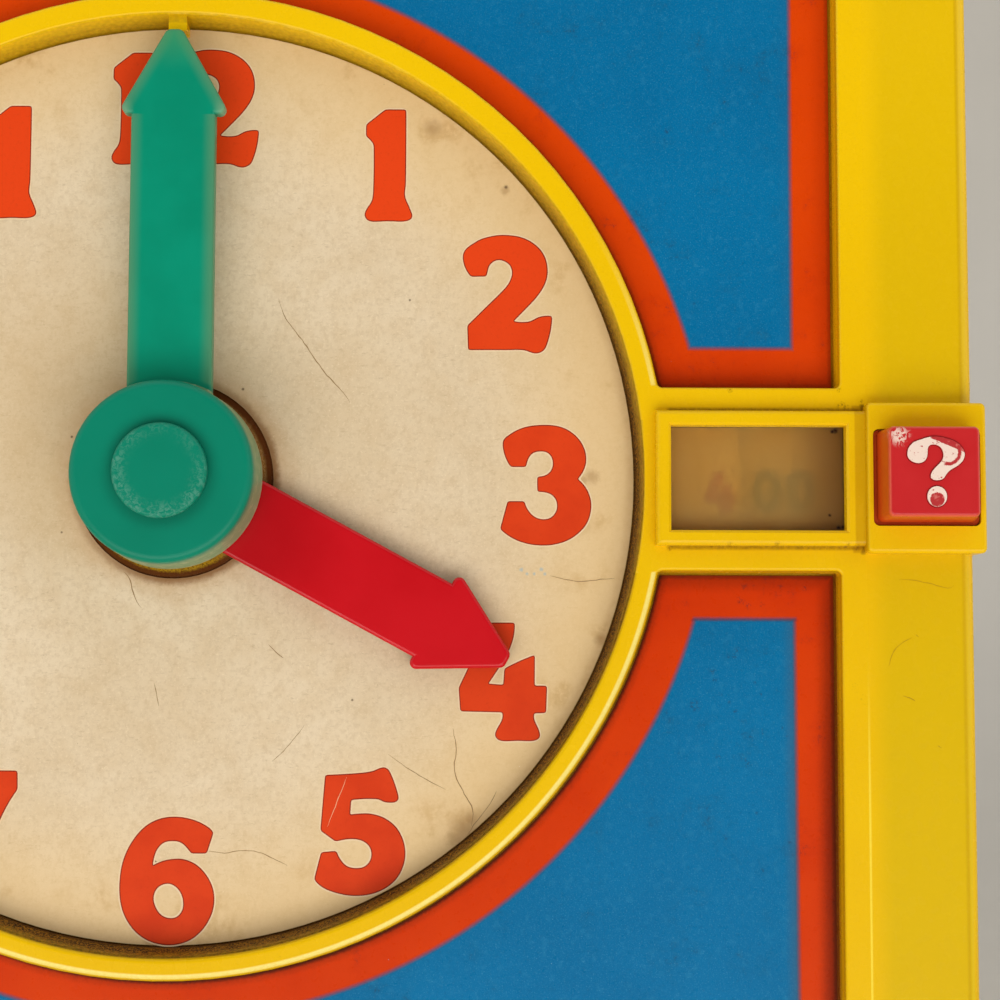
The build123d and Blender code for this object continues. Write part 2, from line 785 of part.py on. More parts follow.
# Pane carrier: frame round the pane with a plate, peg and spring nipple under the button
with BuildPart() as pane_carrier:
    with BuildSketch(level(carrier_back, carrier_middle)):
        Rectangle(carrier_right - carrier_left, carrier_height)
    extrude(amount=carrier_thickness)
    with BuildSketch(level(carrier_top, pane_middle)):
        Rectangle(pane_right - pane_left, pane_height)
    extrude(amount=-pane_thickness, mode=Mode.SUBTRACT)
    with BuildSketch(level(carrier_top, pane_middle)):
        Rectangle(pane_right - pane_left - 2 * pane_ledge, pane_height - 2 * pane_ledge)
    extrude(amount=-carrier_thickness, mode=Mode.SUBTRACT)
    with BuildSketch(level(carrier_top, button_middle)):
        Circle(button_peg_width / 2)
    extrude(amount=button_peg_length)
    with BuildSketch(level(carrier_back, button_middle)):
        Circle(nipple_radius)
    extrude(amount=-spring_nipple)

with BuildPart() as frosted_pane:
    with BuildSketch(level(carrier_top, pane_middle)):
        Rectangle(pane_right - pane_left, pane_height)
    extrude(amount=-pane_thickness)

# Return spring: an open coil between the carrier and the cover's post
def coil_point(turn):
    """Point and tangent of the coil's centre line after a number of turns."""
    seat = spring_wire / 2 + spring_seat_gap
    rise = (spring_length - 2 * seat) / spring_turns
    angle = 2 * pi * turn
    point = Vector(
        button_middle + spring_radius * cos(angle),
        dial_y - spring_back - seat - rise * turn,
        case_half + spring_radius * sin(angle),
    )
    across = Vector(-sin(angle), 0, cos(angle)) * 2 * pi * spring_radius
    return point, (across + Vector(0, -rise, 0)).normalized()


def biarc(start, end):
    """Two tangent arcs from one point and tangent of the coil to the next."""
    (p, u), (q, v) = start, end
    chord = q - p
    total = u + v
    share = 2 * (1 - u.dot(v))
    along = chord.dot(total)
    reach = (-along + sqrt(along * along + share * chord.dot(chord))) / share
    joint = (p + q + (u - v) * reach) * 0.5
    TangentArc(p, joint, tangent=u)
    TangentArc(joint, q, tangent=(joint - p - u * reach).normalized())


with BuildPart() as return_spring:
    quarters = round(4 * spring_turns)
    with BuildLine() as coil:
        for step in range(quarters):
            biarc(coil_point(step / 4), coil_point((step + 1) / 4))
    start_point, start_tangent = coil_point(0)
    with BuildSketch(Plane(origin=start_point, z_dir=start_tangent)):
        Circle(spring_wire / 2)
    sweep(path=coil.line)

# Least gap between neighbouring coils, measured between points of the centre line
points_per_turn = 24
point_count = round(points_per_turn * spring_turns)
coil_points = [coil.wires()[0] @ (n / point_count) for n in range(point_count + 1)]
least_gap = min(
    (other - point).length - spring_wire
    for n, point in enumerate(coil_points)
    for other in coil_points[n + points_per_turn // 2:]
)
print(f"return_spring: least gap between its coils {least_gap:.2f} mm")

# Back cover: flat plate in the case's rear, with ribs, the shaft's tail bearing and the spring's post
with BuildPart() as back_cover:
    cover_half = inside_half - cover_play
    with BuildSketch(level(back_z)):
        RectangleRounded(2 * cover_half, 2 * cover_half, case_corner - case_wall - cover_play)
    extrude(amount=cover_thickness)
    with BuildSketch(level(cover_z)):
        Circle(cover_ring_radius)
        Circle(cover_ring_radius - cover_rib, mode=Mode.SUBTRACT)
        rib_reach = hypot(corner_reach, corner_reach) - boss_radius - cover_rib_gap
        for turn in (45, 135):
            Rectangle(2 * rib_reach, cover_rib, rotation=turn)
    extrude(amount=cover_rib_height)
    with BuildSketch(level(cover_z)):
        Circle(tail_boss_radius)
    extrude(amount=shaft_end_gap + tail_bearing)
    with BuildSketch(level(shaft_end - tail_gap)):
        Circle(shaft_radius + running_fit)
    extrude(amount=tail_gap + tail_bearing, mode=Mode.SUBTRACT)
    with BuildSketch(level(cover_z, button_middle)):
        Circle(spring_radius + spring_wire / 2 + spring_post_wall)
    extrude(amount=spring_back - cover_z)
    with BuildSketch(level(spring_back, button_middle)):
        Circle(nipple_radius)
    extrude(amount=spring_nipple)
    with BuildSketch(level(cover_z)):
        with Locations(*cover_places()):
            Circle(boss_radius)
    extrude(amount=cover_cup)
    with BuildSketch(level(back_z)):
        with Locations(*cover_places()):
            Circle(screw_head_radius + head_clearance)
    extrude(amount=cup_floor - back_z, mode=Mode.SUBTRACT)
    with BuildSketch(level(cup_floor)):
        with Locations(*cover_places()):
            Circle(screw_radius + screw_clearance)
    extrude(amount=cup_z - cup_floor, mode=Mode.SUBTRACT)

# Screws: each group is one file of separate solids
cover_screws = Compound(children=[
    level(cup_floor, x, y).location * screw(screw_length, -1)
    for x, y in cover_places()
])
bridge_screws = Compound(children=[
    level(bridge_z - bridge_thickness, x, y).location * screw(bridge_screw_length, -1)
    for x, y in bridge_places()
])
hand_screw = level(shelf_z).location * screw(hand_screw_length, 1)

os.makedirs("parts", exist_ok=True)
save(front_housing.part, "front_housing")
save(dial_label.part, "dial_label")
save(panel_label.part, "panel_label")
save(hour_hand.part, "hour_hand")
save(minute_hand.part, "minute_hand")
save(hub_plug.part, "hub_plug")
save(minute_shaft.part, "minute_shaft")
save(hour_sleeve.part, "hour_sleeve")
save(minute_pinion.part, "minute_pinion")
save(intermediate_gear.part, "intermediate_gear")
save(hour_wheel.part, "hour_wheel")
save(hour_disc.part, "hour_disc")
save(minute_disc.part, "minute_disc")
save(hour_number_ring.part, "hour_number_ring")
save(minute_number_ring.part, "minute_number_ring")
save(movement_bridge.part, "movement_bridge")
save(gear_post.part, "gear_post")
save(post_clip.part, "post_clip")
save(friction_washer.part, "friction_washer")
save(shaft_clip.part, "shaft_clip")
save(question_button.part, "question_button")
save(pane_carrier.part, "pane_carrier")
save(frosted_pane.part, "frosted_pane")
save(return_spring.part, "return_spring")
save(back_cover.part, "back_cover")
save(cover_screws, "cover_screws")
save(bridge_screws, "bridge_screws")
save(hand_screw, "hand_screw")
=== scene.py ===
import bpy
import bmesh
import json
import math
import random
from mathutils import Matrix, Vector


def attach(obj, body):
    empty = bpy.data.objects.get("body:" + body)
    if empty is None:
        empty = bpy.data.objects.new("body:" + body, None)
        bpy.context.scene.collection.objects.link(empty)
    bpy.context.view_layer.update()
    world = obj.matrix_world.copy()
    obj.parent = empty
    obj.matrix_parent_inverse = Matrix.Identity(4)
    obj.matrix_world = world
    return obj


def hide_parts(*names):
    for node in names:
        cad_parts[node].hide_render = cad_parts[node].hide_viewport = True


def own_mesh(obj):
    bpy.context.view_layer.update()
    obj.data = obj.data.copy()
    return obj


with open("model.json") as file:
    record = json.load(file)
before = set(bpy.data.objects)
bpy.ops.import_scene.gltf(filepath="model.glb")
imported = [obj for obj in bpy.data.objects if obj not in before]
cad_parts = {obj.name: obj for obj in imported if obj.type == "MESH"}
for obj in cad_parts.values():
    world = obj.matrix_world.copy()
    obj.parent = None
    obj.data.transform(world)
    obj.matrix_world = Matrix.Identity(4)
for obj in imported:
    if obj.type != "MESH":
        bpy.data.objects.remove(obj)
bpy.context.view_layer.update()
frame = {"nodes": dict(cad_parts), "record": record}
nodes = frame["nodes"]
random.seed(12)

# The clock's own measures. Dial coordinates: x right, y up, h towards the viewer, in mm
MM = 0.001
DIAL_Y = -0.014
CENTRE_Z = 0.1355
RIM_HEIGHT = 5.0
RING_FOOT = 83.4           # where the ring's outer wall meets the panel
RECESS_HALF = 112.4        # the recess's outer walls, from the middle
WINDOW_BAR_HALF = 15.8
BAR_START, BAR_END, BAR_DROP = 117.0, 135.5, 1.4    # the raised bars fall to their outer edge
BEZEL_FOOT, BLOCK_LEFT = 11.55, 116.4
BORDER_SIDE, BORDER_BAR = 105.4, 23.4    # the panel's red border ends here
ARM_HALF = 7.1             # half the width of the minute arm
PRINT_LIFT = 0.04          # printed figures stand this far above their sheet, in mm


def dial_point(x, y, h=0.0):
    """Row-frame point of a place on the dial, given in mm."""
    return Vector((x * MM, DIAL_Y - h * MM, CENTRE_Z + y * MM))


def rgb(red, green, blue):
    """Linear colour of an 8-bit one."""
    out = []
    for value in (red, green, blue):
        v = value / 255
        out.append(v / 12.92 if v <= 0.04045 else ((v + 0.055) / 1.055) ** 2.4)
    return (*out, 1.0)


# Shader graphs, written as sums
class Number:
    """A number in a shader graph, which the usual operators combine."""

    def __init__(self, tree, socket):
        self.tree = tree
        self.socket = socket

    def math(self, operation, *others):
        node = self.tree.nodes.new("ShaderNodeMath")
        node.operation = operation
        for slot, value in enumerate((self, *others)):
            if isinstance(value, Number):
                self.tree.links.new(value.socket, node.inputs[slot])
            else:
                node.inputs[slot].default_value = value
        return Number(self.tree, node.outputs[0])

    def __add__(self, other):
        return self.math("ADD", other)

    def __sub__(self, other):
        return self.math("SUBTRACT", other)

    def __mul__(self, other):
        return self.math("MULTIPLY", other)

    def __truediv__(self, other):
        return self.math("DIVIDE", other)

    def __abs__(self):
        return self.math("ABSOLUTE")

    def least(self, other):
        return self.math("MINIMUM", other)

    def most(self, other):
        return self.math("MAXIMUM", other)

    def inverse(self):
        return self * -1.0 + 1.0

    def step(self, low, high):
        """0 below low and 1 above high, smooth between them. low may be above high."""
        node = self.tree.nodes.new("ShaderNodeMapRange")
        node.interpolation_type = "SMOOTHSTEP"
        ends = (low, high, 0.0, 1.0) if low < high else (high, low, 1.0, 0.0)
        for slot, value in enumerate(ends, 1):
            node.inputs[slot].default_value = value
        self.tree.links.new(self.socket, node.inputs[0])
        return Number(self.tree, node.outputs[0])


def root(x, y):
    """Length of the vector (x, y)."""
    return (x * x + y * y).math("SQRT")


class Finish:
    """A procedural material in dial coordinates, in mm."""

    def __init__(self, name, **settings):
        self.material = bpy.data.materials.new(name)
        self.material.use_nodes = True
        self.tree = self.material.node_tree
        self.shader = self.tree.nodes["Principled BSDF"]
        for key, value in settings.items():
            self.shader.inputs[key.replace("_", " ")].default_value = value
        coordinates = self.tree.nodes.new("ShaderNodeTexCoord")
        split = self.tree.nodes.new("ShaderNodeSeparateXYZ")
        self.tree.links.new(coordinates.outputs["Object"], split.inputs[0])
        self.place = coordinates.outputs["Object"]
        row = [Number(self.tree, output) * (1 / MM) for output in split.outputs]
        self.x = row[0]
        self.h = row[1] * -1.0 + DIAL_Y / MM
        self.y = row[2] - CENTRE_Z / MM
        self.radius = root(self.x, self.y)

    def noise(self, size, detail=2.0, roughness=0.5, stretch=(1, 1, 1), distortion=0.0):
        """Noise from 0 to 1 whose features are about size mm."""
        mapping = self.tree.nodes.new("ShaderNodeMapping")
        mapping.inputs["Scale"].default_value = [1 / (size * MM * s) for s in stretch]
        node = self.tree.nodes.new("ShaderNodeTexNoise")
        node.inputs["Scale"].default_value = 1.0
        node.inputs["Detail"].default_value = detail
        node.inputs["Roughness"].default_value = roughness
        node.inputs["Distortion"].default_value = distortion
        self.tree.links.new(self.place, mapping.inputs[0])
        self.tree.links.new(mapping.outputs[0], node.inputs["Vector"])
        return Number(self.tree, node.outputs["Fac"])

    def specks(self, spacing, size, share=0.5):
        """1 in small round specks, whose cells are spacing mm apart, and 0 elsewhere."""
        mapping = self.tree.nodes.new("ShaderNodeMapping")
        mapping.inputs["Scale"].default_value = [1 / (spacing * MM)] * 3
        node = self.tree.nodes.new("ShaderNodeTexVoronoi")
        node.inputs["Scale"].default_value = 1.0
        self.tree.links.new(self.place, mapping.inputs[0])
        self.tree.links.new(mapping.outputs[0], node.inputs["Vector"])
        distance = Number(self.tree, node.outputs["Distance"])
        split = self.tree.nodes.new("ShaderNodeSeparateColor")
        self.tree.links.new(node.outputs["Color"], split.inputs[0])
        pick = Number(self.tree, split.outputs[0])
        limit = (pick - (1 - share)).most(0.0) * (size / spacing / share)
        return (limit - distance).step(0.0, 0.02)

    def lay(self, amount, red, green, blue):
        """Lays an 8-bit colour over the base, as much as amount says."""
        self.base = self.mix(amount, self.base, rgb(red, green, blue))

    def dust(self, *kinds):
        """Lays specks over the base, each kind as (spacing, size, share, amount, red, green, blue)."""
        for spacing, size, share, amount, *colour in kinds:
            self.lay(self.specks(spacing, size, share) * amount, *colour)

    def marks(self, places, grain):
        """1 in soft spots at (x, y, radius) places, in mm, broken up by a grain, and 0 elsewhere."""
        total = None
        for x, y, radius in places:
            spot = (root(self.x - x, self.y - y) + grain * radius).step(radius * 1.5, radius * 0.6)
            total = spot if total is None else total.most(spot)
        return total

    def mix(self, amount, low, high):
        """Colour that goes from low to high as amount goes from 0 to 1."""
        node = self.tree.nodes.new("ShaderNodeMix")
        node.data_type = "RGBA"
        if isinstance(amount, Number):
            self.tree.links.new(amount.socket, node.inputs[0])
        else:
            node.inputs[0].default_value = amount
        for slot, value in ((6, low), (7, high)):
            if isinstance(value, bpy.types.NodeSocket):
                self.tree.links.new(value, node.inputs[slot])
            else:
                node.inputs[slot].default_value = value
        return node.outputs[2]

    def drive(self, name, value):
        """Links a socket of the shader to a colour or a number."""
        socket = value.socket if isinstance(value, Number) else value
        self.tree.links.new(socket, self.shader.inputs[name])

    def bump(self, height, distance):
        """Bumps as high as distance mm where height is 1."""
        node = self.tree.nodes.new("ShaderNodeBump")
        node.inputs["Distance"].default_value = distance * MM
        self.tree.links.new(height.socket, node.inputs["Height"])
        self.tree.links.new(node.outputs[0], self.shader.inputs["Normal"])

    def done(self):
        """The material, with its base colour linked."""
        self.drive("Base Color", self.base)
        return self.material


def grime_side(f):
    """1 at the lower right of the ring, where most dirt has gathered and where painted shade and highlights are laid,
    and 0 at its top.
    """
    return ((f.x * 0.45 - f.y * 0.89) / (f.radius + 0.1)).step(-0.75, 0.85)


def case_yellow():
    """Glossy yellow moulding with dirt, and painted shade and highlights, at its walls and edges."""
    f = Finish("case_yellow", Specular_IOR_Level=0.2)
    cloud = f.noise(38, 3)
    fine = f.noise(3.0, 3)
    grain = f.noise(0.7, 4, 0.75)
    speckle = f.noise(0.35, 3, 0.8)
    side = grime_side(f)
    low = f.y.step(30, -60)
    reach = abs(f.x).most(abs(f.y))
    on_top = f.h.step(3.3, 3.5)
    front = f.h.step(-1.2, -0.6)
    window_bar = abs(f.y).step(16.0, 15.6) * f.x.step(-1.0, 0.0)
    f.base = f.mix(cloud.step(0.3, 0.7), rgb(238, 190, 3), rgb(243, 197, 5))
    bar = f.h.step(3.3, 3.5) * f.h.step(5.2, 4.99)
    # painted light: the moulding lighter towards the top
    f.lay(f.y.step(-10, 80) * 0.8, 250, 203, 4)
    # painted shade: the falling bars darker, most towards the bottom
    f.lay(reach.step(116.6, 121.5) * bar * (f.y.step(90, 0) * 0.45 + 0.45), 221, 184, 3)
    # painted highlight where the bars begin to fall; near their outer edge a painted shade line, as at a step, and a
    # painted highlight on the rounded outer edge
    crest_highlight = abs(reach - (BAR_START + 0.05)).step(0.26, 0.08) * f.y.step(-26, -60) * bar
    f.lay(crest_highlight * 0.8, 255, 230, 76)
    f.lay(abs(reach - 133.5).step(0.5, 0.1) * bar * 0.4, 190, 146, 4)
    f.lay(reach.step(133.6, 134.4) * bar * 0.5, 240, 204, 50)
    f.lay(f.noise(60, 2).step(0.45, 0.75) * 0.3, 232, 182, 6)
    f.lay(speckle.step(0.52, 0.74) * 0.22, 206, 158, 4)
    f.lay(grain.step(0.5, 0.7) * 0.12, 250, 212, 40)
    # small dirt and knocks
    f.dust((11.0, 0.16, 0.3, 0.8, 120, 84, 10), (3.6, 0.07, 0.3, 0.5, 150, 108, 8))
    f.lay(f.noise(7, 4, 0.7).step(0.66, 0.74) * grain.step(0.5, 0.75) * 0.4, 164, 124, 10)
    # brown film on the ring's inner wall, heaviest at the lower right
    wall = f.radius.step(79.85, 79.6) * f.radius.step(78.0, 78.4) * front
    film = (side * 0.6 + f.h.step(5.0, 0.5) * 0.42 + 0.2 + (grain - 0.5) * 0.9).least(1.0).most(0.0)
    film_colour = f.mix(speckle.step(0.46, 0.56), rgb(40, 18, 0), rgb(150, 100, 14))
    f.base = f.mix(wall * film, f.base, film_colour)
    # darker at the wall's foot next to the dial: painted shade with dirt in it
    f.lay(wall * f.h.step(0.9, 0.2) * (side * 0.4 + 0.3), 84, 48, 8)
    # painted highlight on the ring's outer top edge, at the lower right
    edge = f.radius.step(82.2, 82.5) * f.radius.step(83.2, 82.9) * on_top * f.h.step(5.4, 5.2) * window_bar.inverse()
    f.lay(edge * side.step(0.35, 0.9) * (grain * 0.8 + 0.4), 255, 238, 136)
    # dirt on the recess walls, with painted shade at their foot that is heavier towards the bottom
    outside = f.radius.step(82.0, 82.6) * reach.step(116.0, 115.0)
    foot = outside * front * f.h.step(3.6, 0.2) * (grain * 0.8 + 0.35) * (low * 0.5 + 0.5)
    f.lay(foot.least(0.9), 112, 62, 5)
    # deeper painted shade low against the outer walls and the window bar
    deep = outside * reach.step(111.8, 112.2).most(window_bar * reach.step(109.0, 109.6)) * front * f.h.step(1.9, 0.3)
    f.lay((deep * (grain * 0.5 + 0.6) * (low * 0.4 + 0.6)).least(0.95), 150, 70, 14)
    corner = outside * f.h.step(4.99, 4.2) * f.h.step(3.0, 3.6) * reach.step(113.6, 112.6) * grain
    f.lay(corner * 0.6, 150, 104, 6)
    # dirt at the foot of the bezel and of the button's block, and painted shade beside the block
    seam_y = abs(abs(f.y) - BEZEL_FOOT).step(0.7, 0.1) * f.x.step(83.0, 84.0) * f.x.step(116.8, 116.2)
    seam_x = abs(f.x - BLOCK_LEFT).step(0.6, 0.1) * abs(f.y).step(12.9, 12.5)
    seam = seam_y.most(seam_x) * f.h.step(5.6, 5.1) * front
    # painted shade on the bezel's right border, beside the button's block
    gap = f.x.step(114.5, 114.9) * f.x.step(116.9, 116.6) * abs(f.y).step(12.6, 12.3) * on_top
    f.lay(gap * 0.6, 196, 146, 3)
    f.lay(seam * (grain * 1.1 + 0.05), 118, 76, 4)
    # single spots
    spots = f.marks([
        (94.2, 15.0, 0.70), (112.6, 15.1, 0.60), (113.1, 12.7, 0.60), (113.7, 12.2, 0.70),
        (112.4, 12.4, 0.50), (83.8, -11.9, 0.50), (93.7, -11.2, 0.60), (101.6, -11.1, 0.70),
        (115.3, -11.6, 0.80), (113.5, -11.3, 0.60), (116.3, 13.2, 0.50), (112.0, -27.0, 0.35),
    ], f.noise(0.5, 3, 0.7)) * on_top
    f.lay(spots * speckle.step(0.4, 0.6) * 0.7, 124, 78, 8)
    # the collar under the hands, brown, darker at its edge by the cap and on its right
    collar = f.radius.step(17.6, 17.2) * f.h.step(1.0, 0.5) * front
    collar_edge_dark = (f.radius + grain * 1.0).step(15.9, 16.6)
    right = (f.x * 0.8 + f.y * 0.35 + grain * 3.0).step(1.0, 9.0)
    f.lay(collar * (grain * 0.4 + 0.6), 150, 112, 30)
    f.lay(collar * speckle.step(0.48, 0.6) * 0.7, 70, 40, 8)
    f.base = f.mix(collar * right * 0.85, f.base, f.mix(speckle.step(0.42, 0.58), rgb(126, 78, 34), rgb(176, 136, 86)))
    f.lay(collar * collar_edge_dark * 0.95, 90, 42, 10)
    f.drive("Roughness", fine * 0.1 + wall * film * 0.4 + 0.22)
    # soft rounding of the ring's two upper edges
    outer = (f.radius - 82.2).most(0.0)
    inner = (f.radius * -1.0 + 80.6).most(0.0)
    round_off = (outer * outer + inner * inner) * on_top * f.radius.step(84.0, 83.6) * f.radius.step(79.4, 79.6)
    round_off = round_off * (f.y.step(30, -50) * 0.85 + 0.15) * window_bar.inverse()
    f.bump((f.noise(1.6, 3) * 0.6 + grain * 0.4) * 0.014 - round_off * 0.42, 1.0)
    return f.done()


def dial_print():
    """Aged cream card."""
    f = Finish("dial_print", Roughness=0.6, Specular_IOR_Level=0.2)
    cloud = f.noise(34, 3)
    blot = f.noise(9, 4, 0.6)
    fibre = f.noise(0.8, 4, 0.75)
    grain = f.noise(1.1, 4, 0.7)
    side = grime_side(f)
    f.base = f.mix(cloud.step(0.3, 0.7), rgb(223, 201, 166), rgb(235, 216, 185))
    f.lay(f.noise(4.5, 3, 0.6).step(0.4, 0.7) * 0.35, 214, 187, 146)
    f.lay(fibre.step(0.42, 0.68) * 0.42, 202, 177, 140)
    f.lay(f.noise(0.5, 3, 0.75).step(0.54, 0.7) * 0.5, 246, 228, 198)
    f.lay(f.noise(0.6, 4, 0.8, (3.0, 1, 0.7)).step(0.6, 0.68) * 0.35, 180, 154, 118)
    # yellowed towards the edge, with brown blots there
    age = (f.radius + cloud * 16.0 + f.x * 0.05).step(58, 92)
    f.lay(age * 0.75, 232, 196, 134)
    blots = blot.step(0.54, 0.7) * (f.radius + cloud * 8.0).step(68, 79) * grain.step(0.3, 0.6)
    f.lay(blots * 0.4, 188, 144, 80)
    # painted shade on the card, above and left of the hub
    shade = root(f.x + 14.0, f.y - 12.0).step(34, 12)
    f.lay(shade * 0.4, 206, 172, 118)
    # painted shadow of the ring on the card at the lower right, with some dirt, a darker line at the card's edge, and
    # dirt against the collar
    rim = (f.radius + blot * 1.4).step(76.9, 78.8) * side.step(0.25, 0.7) * f.y.step(-76, -40)
    f.lay(rim * (grain * 0.4 + 0.1), 172, 128, 74)
    f.lay(f.radius.step(78.0, 78.3) * 0.2, 120, 82, 34)
    hub_side = ((f.x * 0.75 - f.y * 0.65) / (f.radius + 0.1)).step(-0.7, 0.7)
    hub = (f.radius - grain * 1.2).step(18.0, 16.5)
    f.lay(hub * (hub_side * 0.55 + 0.35), 104, 56, 18)
    f.lay((f.radius - blot * 4.0).step(20.0, 15.0) * 0.35, 196, 150, 92)
    f.dust(
        (6.5, 0.24, 0.3, 0.7, 112, 84, 48),
        (2.2, 0.11, 0.35, 0.5, 134, 104, 62),
        (3.1, 0.12, 0.3, 0.5, 250, 236, 208),
    )
    # single stains: brown, dark and pale blue
    brown = f.marks([
        (49.4, -58.8, 3.40), (48.1, -60.3, 2.40), (50.6, -57.3, 2.00), (71.0, 0.7, 1.90),
        (69.8, 0.1, 1.30), (56.2, 50.3, 1.20), (43.7, 61.1, 2.20), (72.5, -27.1, 1.60),
        (-2.8, -78.1, 1.80),
    ], grain)
    f.lay(brown * 0.4, 150, 104, 52)
    dark = f.marks([
        (56.3, 50.8, 0.50), (11.5, 15.5, 0.35), (-18.9, -9.1, 0.30), (-17.5, 7.2, 0.30),
        (39.9, 31.0, 0.30), (22.4, -13.7, 0.30), (62.3, -48.1, 0.30), (30.6, -37.3, 0.30),
    ], grain)
    f.lay(dark * 0.85, 74, 48, 22)
    pale = f.marks([
        (59.1, -15.2, 0.50), (60.1, -15.9, 0.40), (61.3, -15.9, 0.35), (62.5, -15.1, 0.50),
        (63.1, -15.9, 0.40),
    ], f.noise(0.5, 3, 0.7))
    f.lay(pale * 0.6, 150, 184, 196)
    f.bump(f.noise(0.35, 3) * 0.6 + blot * 0.4, 0.03)
    return f.done()


def panel_print():
    """Glossy sheet: blue with a red border that follows its outline."""
    f = Finish("panel_print", Specular_IOR_Level=0.15)
    upper = f.y.step(-6, 6)
    across, rise = abs(f.x) / (f.radius + 0.1), f.y / (f.radius + 0.1)
    border_up = across * -2.26 - rise * 3.46 + 93.82
    border_low = across * -0.49 + rise * 2.09 + 92.54
    round_side = f.radius - border_up * upper - border_low * upper.inverse()
    lean = (f.y * -1.0).most(0.0) * 0.005 * f.x.step(0, 1)
    outer_side = (abs(f.x).most(abs(f.y)) * -1.0) + lean + BORDER_SIDE
    bar_side = (abs(f.y) - BORDER_BAR + upper * 0.55).most(f.x * -1.0)
    straight = outer_side.least(bar_side)
    cloud = f.noise(26, 3)
    fine = f.noise(1.3, 3)
    grain = f.noise(0.7, 4, 0.75)
    speckle = f.noise(0.35, 3, 0.85)
    smudge = f.noise(5.5, 4, 0.65)
    side = grime_side(f)
    low = f.y.step(30, -60)
    red = f.mix(cloud.step(0.3, 0.7), rgb(212, 56, 2), rgb(222, 66, 4))
    # painted light: the red lighter towards the top
    red = f.mix(f.y.step(0, 60) * 0.7, red, rgb(230, 74, 3))
    red = f.mix(smudge.step(0.5, 0.75) * 0.3, red, rgb(196, 46, 4))
    red = f.mix(speckle.step(0.5, 0.85) * 0.3, red, rgb(176, 44, 4))
    blue = f.mix(cloud.step(0.3, 0.7), rgb(0, 107, 160), rgb(0, 114, 168))
    blue = f.mix(smudge.step(0.5, 0.75) * 0.25, blue, rgb(24, 92, 128))
    blue = f.mix(speckle.step(0.5, 0.7) * 0.4, blue, rgb(52, 140, 184))
    blue = f.mix(grain.step(0.52, 0.72) * 0.4, blue, rgb(0, 82, 128))
    blue = f.mix(fine.step(0.56, 0.7) * 0.25, blue, rgb(40, 132, 178))
    blue = f.mix(f.noise(0.28, 3, 0.9).step(0.56, 0.68) * 0.45, blue, rgb(96, 172, 206))
    blue = f.mix(outer_side.step(2.6, 0.2) * (low * 0.35 + 0.1), blue, rgb(70, 96, 116))
    inward = round_side.least(straight) + (grain - 0.5) * 0.3
    f.base = f.mix(inward.step(-0.5, 0.5), red, blue)
    f.lay(abs(inward - 0.05).step(0.7, 0.0) * 0.35, 62, 40, 24)
    # dark smudges and small light flecks
    f.lay(abs(bar_side - 0.2).step(0.4, 0.1) * abs(inward).step(0.8, 0.2) * low * 0.5, 60, 40, 60)
    f.lay(smudge.step(0.6, 0.72) * grain.step(0.45, 0.7) * 0.5, 44, 48, 56)
    f.dust(
        (7.0, 0.3, 0.3, 0.8, 28, 36, 44),
        (2.3, 0.1, 0.35, 0.6, 20, 50, 74),
        (3.4, 0.15, 0.35, 0.6, 134, 186, 206),
        (9.0, 0.3, 0.25, 0.7, 190, 210, 214),
    )
    spots = f.marks([
        (91.4, -32.2, 0.90), (91.9, -33.8, 0.60), (92.9, -36.1, 0.60), (94.3, -37.5, 0.50),
        (95.3, -39.0, 0.70), (95.7, -28.7, 0.80), (95.2, -29.7, 0.60), (92.4, -46.7, 0.70),
        (97.4, -48.0, 0.80), (97.1, -47.2, 0.50), (99.7, -36.1, 0.40), (104.1, -43.2, 0.40),
        (104.0, -49.4, 0.40), (103.2, -41.8, 0.40), (98.9, -56.1, 0.50), (98.7, -34.2, 0.40),
        (88.4, -38.0, 1.50), (96.4, -20.4, 1.00), (97.6, -21.2, 0.90), (97.0, -17.8, 0.90),
        (100.0, -21.1, 0.70), (107.3, -18.1, 0.90), (103.1, -18.0, 0.80), (84.1, 60.8, 0.70),
        (104.4, -60.9, 0.60),
    ], f.noise(0.6, 3, 0.7))
    f.lay(spots * f.noise(0.45, 3, 0.8).step(0.44, 0.6) * 0.5, 46, 40, 48)
    # painted shade and dirt along the recess walls and at the ring's foot, heavier towards the bottom and at the lower
    # right
    out = (abs(f.x).most(abs(f.y)) * -1.0) + RECESS_HALF
    bar = (abs(f.y) - WINDOW_BAR_HALF).most(f.x * -9.0)
    ring = f.radius - RING_FOOT
    wall = out.least(bar)
    f.lay((wall - grain * 1.2).step(3.2, 0.2) * (low * 0.5 + 0.1), 58, 18, 3)
    f.lay((wall - grain * 0.8).step(0.8, 0.1) * (low * 0.35 + 0.35), 76, 30, 4)
    f.lay((ring - grain * 0.6).step(1.2, 0.5) * (side * 0.6 + 0.3), 60, 22, 2)
    f.lay((ring - grain * 1.0).step(2.0, 0.8) * side * 0.3, 90, 26, 4)
    f.drive("Roughness", fine * 0.15 + 0.22)
    f.bump(f.noise(2.5, 2) * 0.5 + fine * 0.5, 0.02)
    return f.done()


def hour_red():
    """Glossy red moulding."""
    f = Finish("hour_hand_red", Roughness=0.22, Specular_IOR_Level=0.3)
    cloud = f.noise(14, 2)
    f.base = f.mix(cloud.step(0.3, 0.7), rgb(198, 10, 22), rgb(206, 16, 28))
    f.lay(f.radius.step(34, 16) * 0.5, 164, 8, 18)
    # painted shade: the hand's sides darker than its top
    f.lay(f.h.step(3.3, 2.4) * 0.7, 110, 8, 10)
    f.dust((3.4, 0.08, 0.4, 0.5, 90, 6, 10), (4.4, 0.07, 0.3, 0.5, 236, 110, 110))
    f.bump(f.noise(1.5, 2), 0.012)
    return f.done()


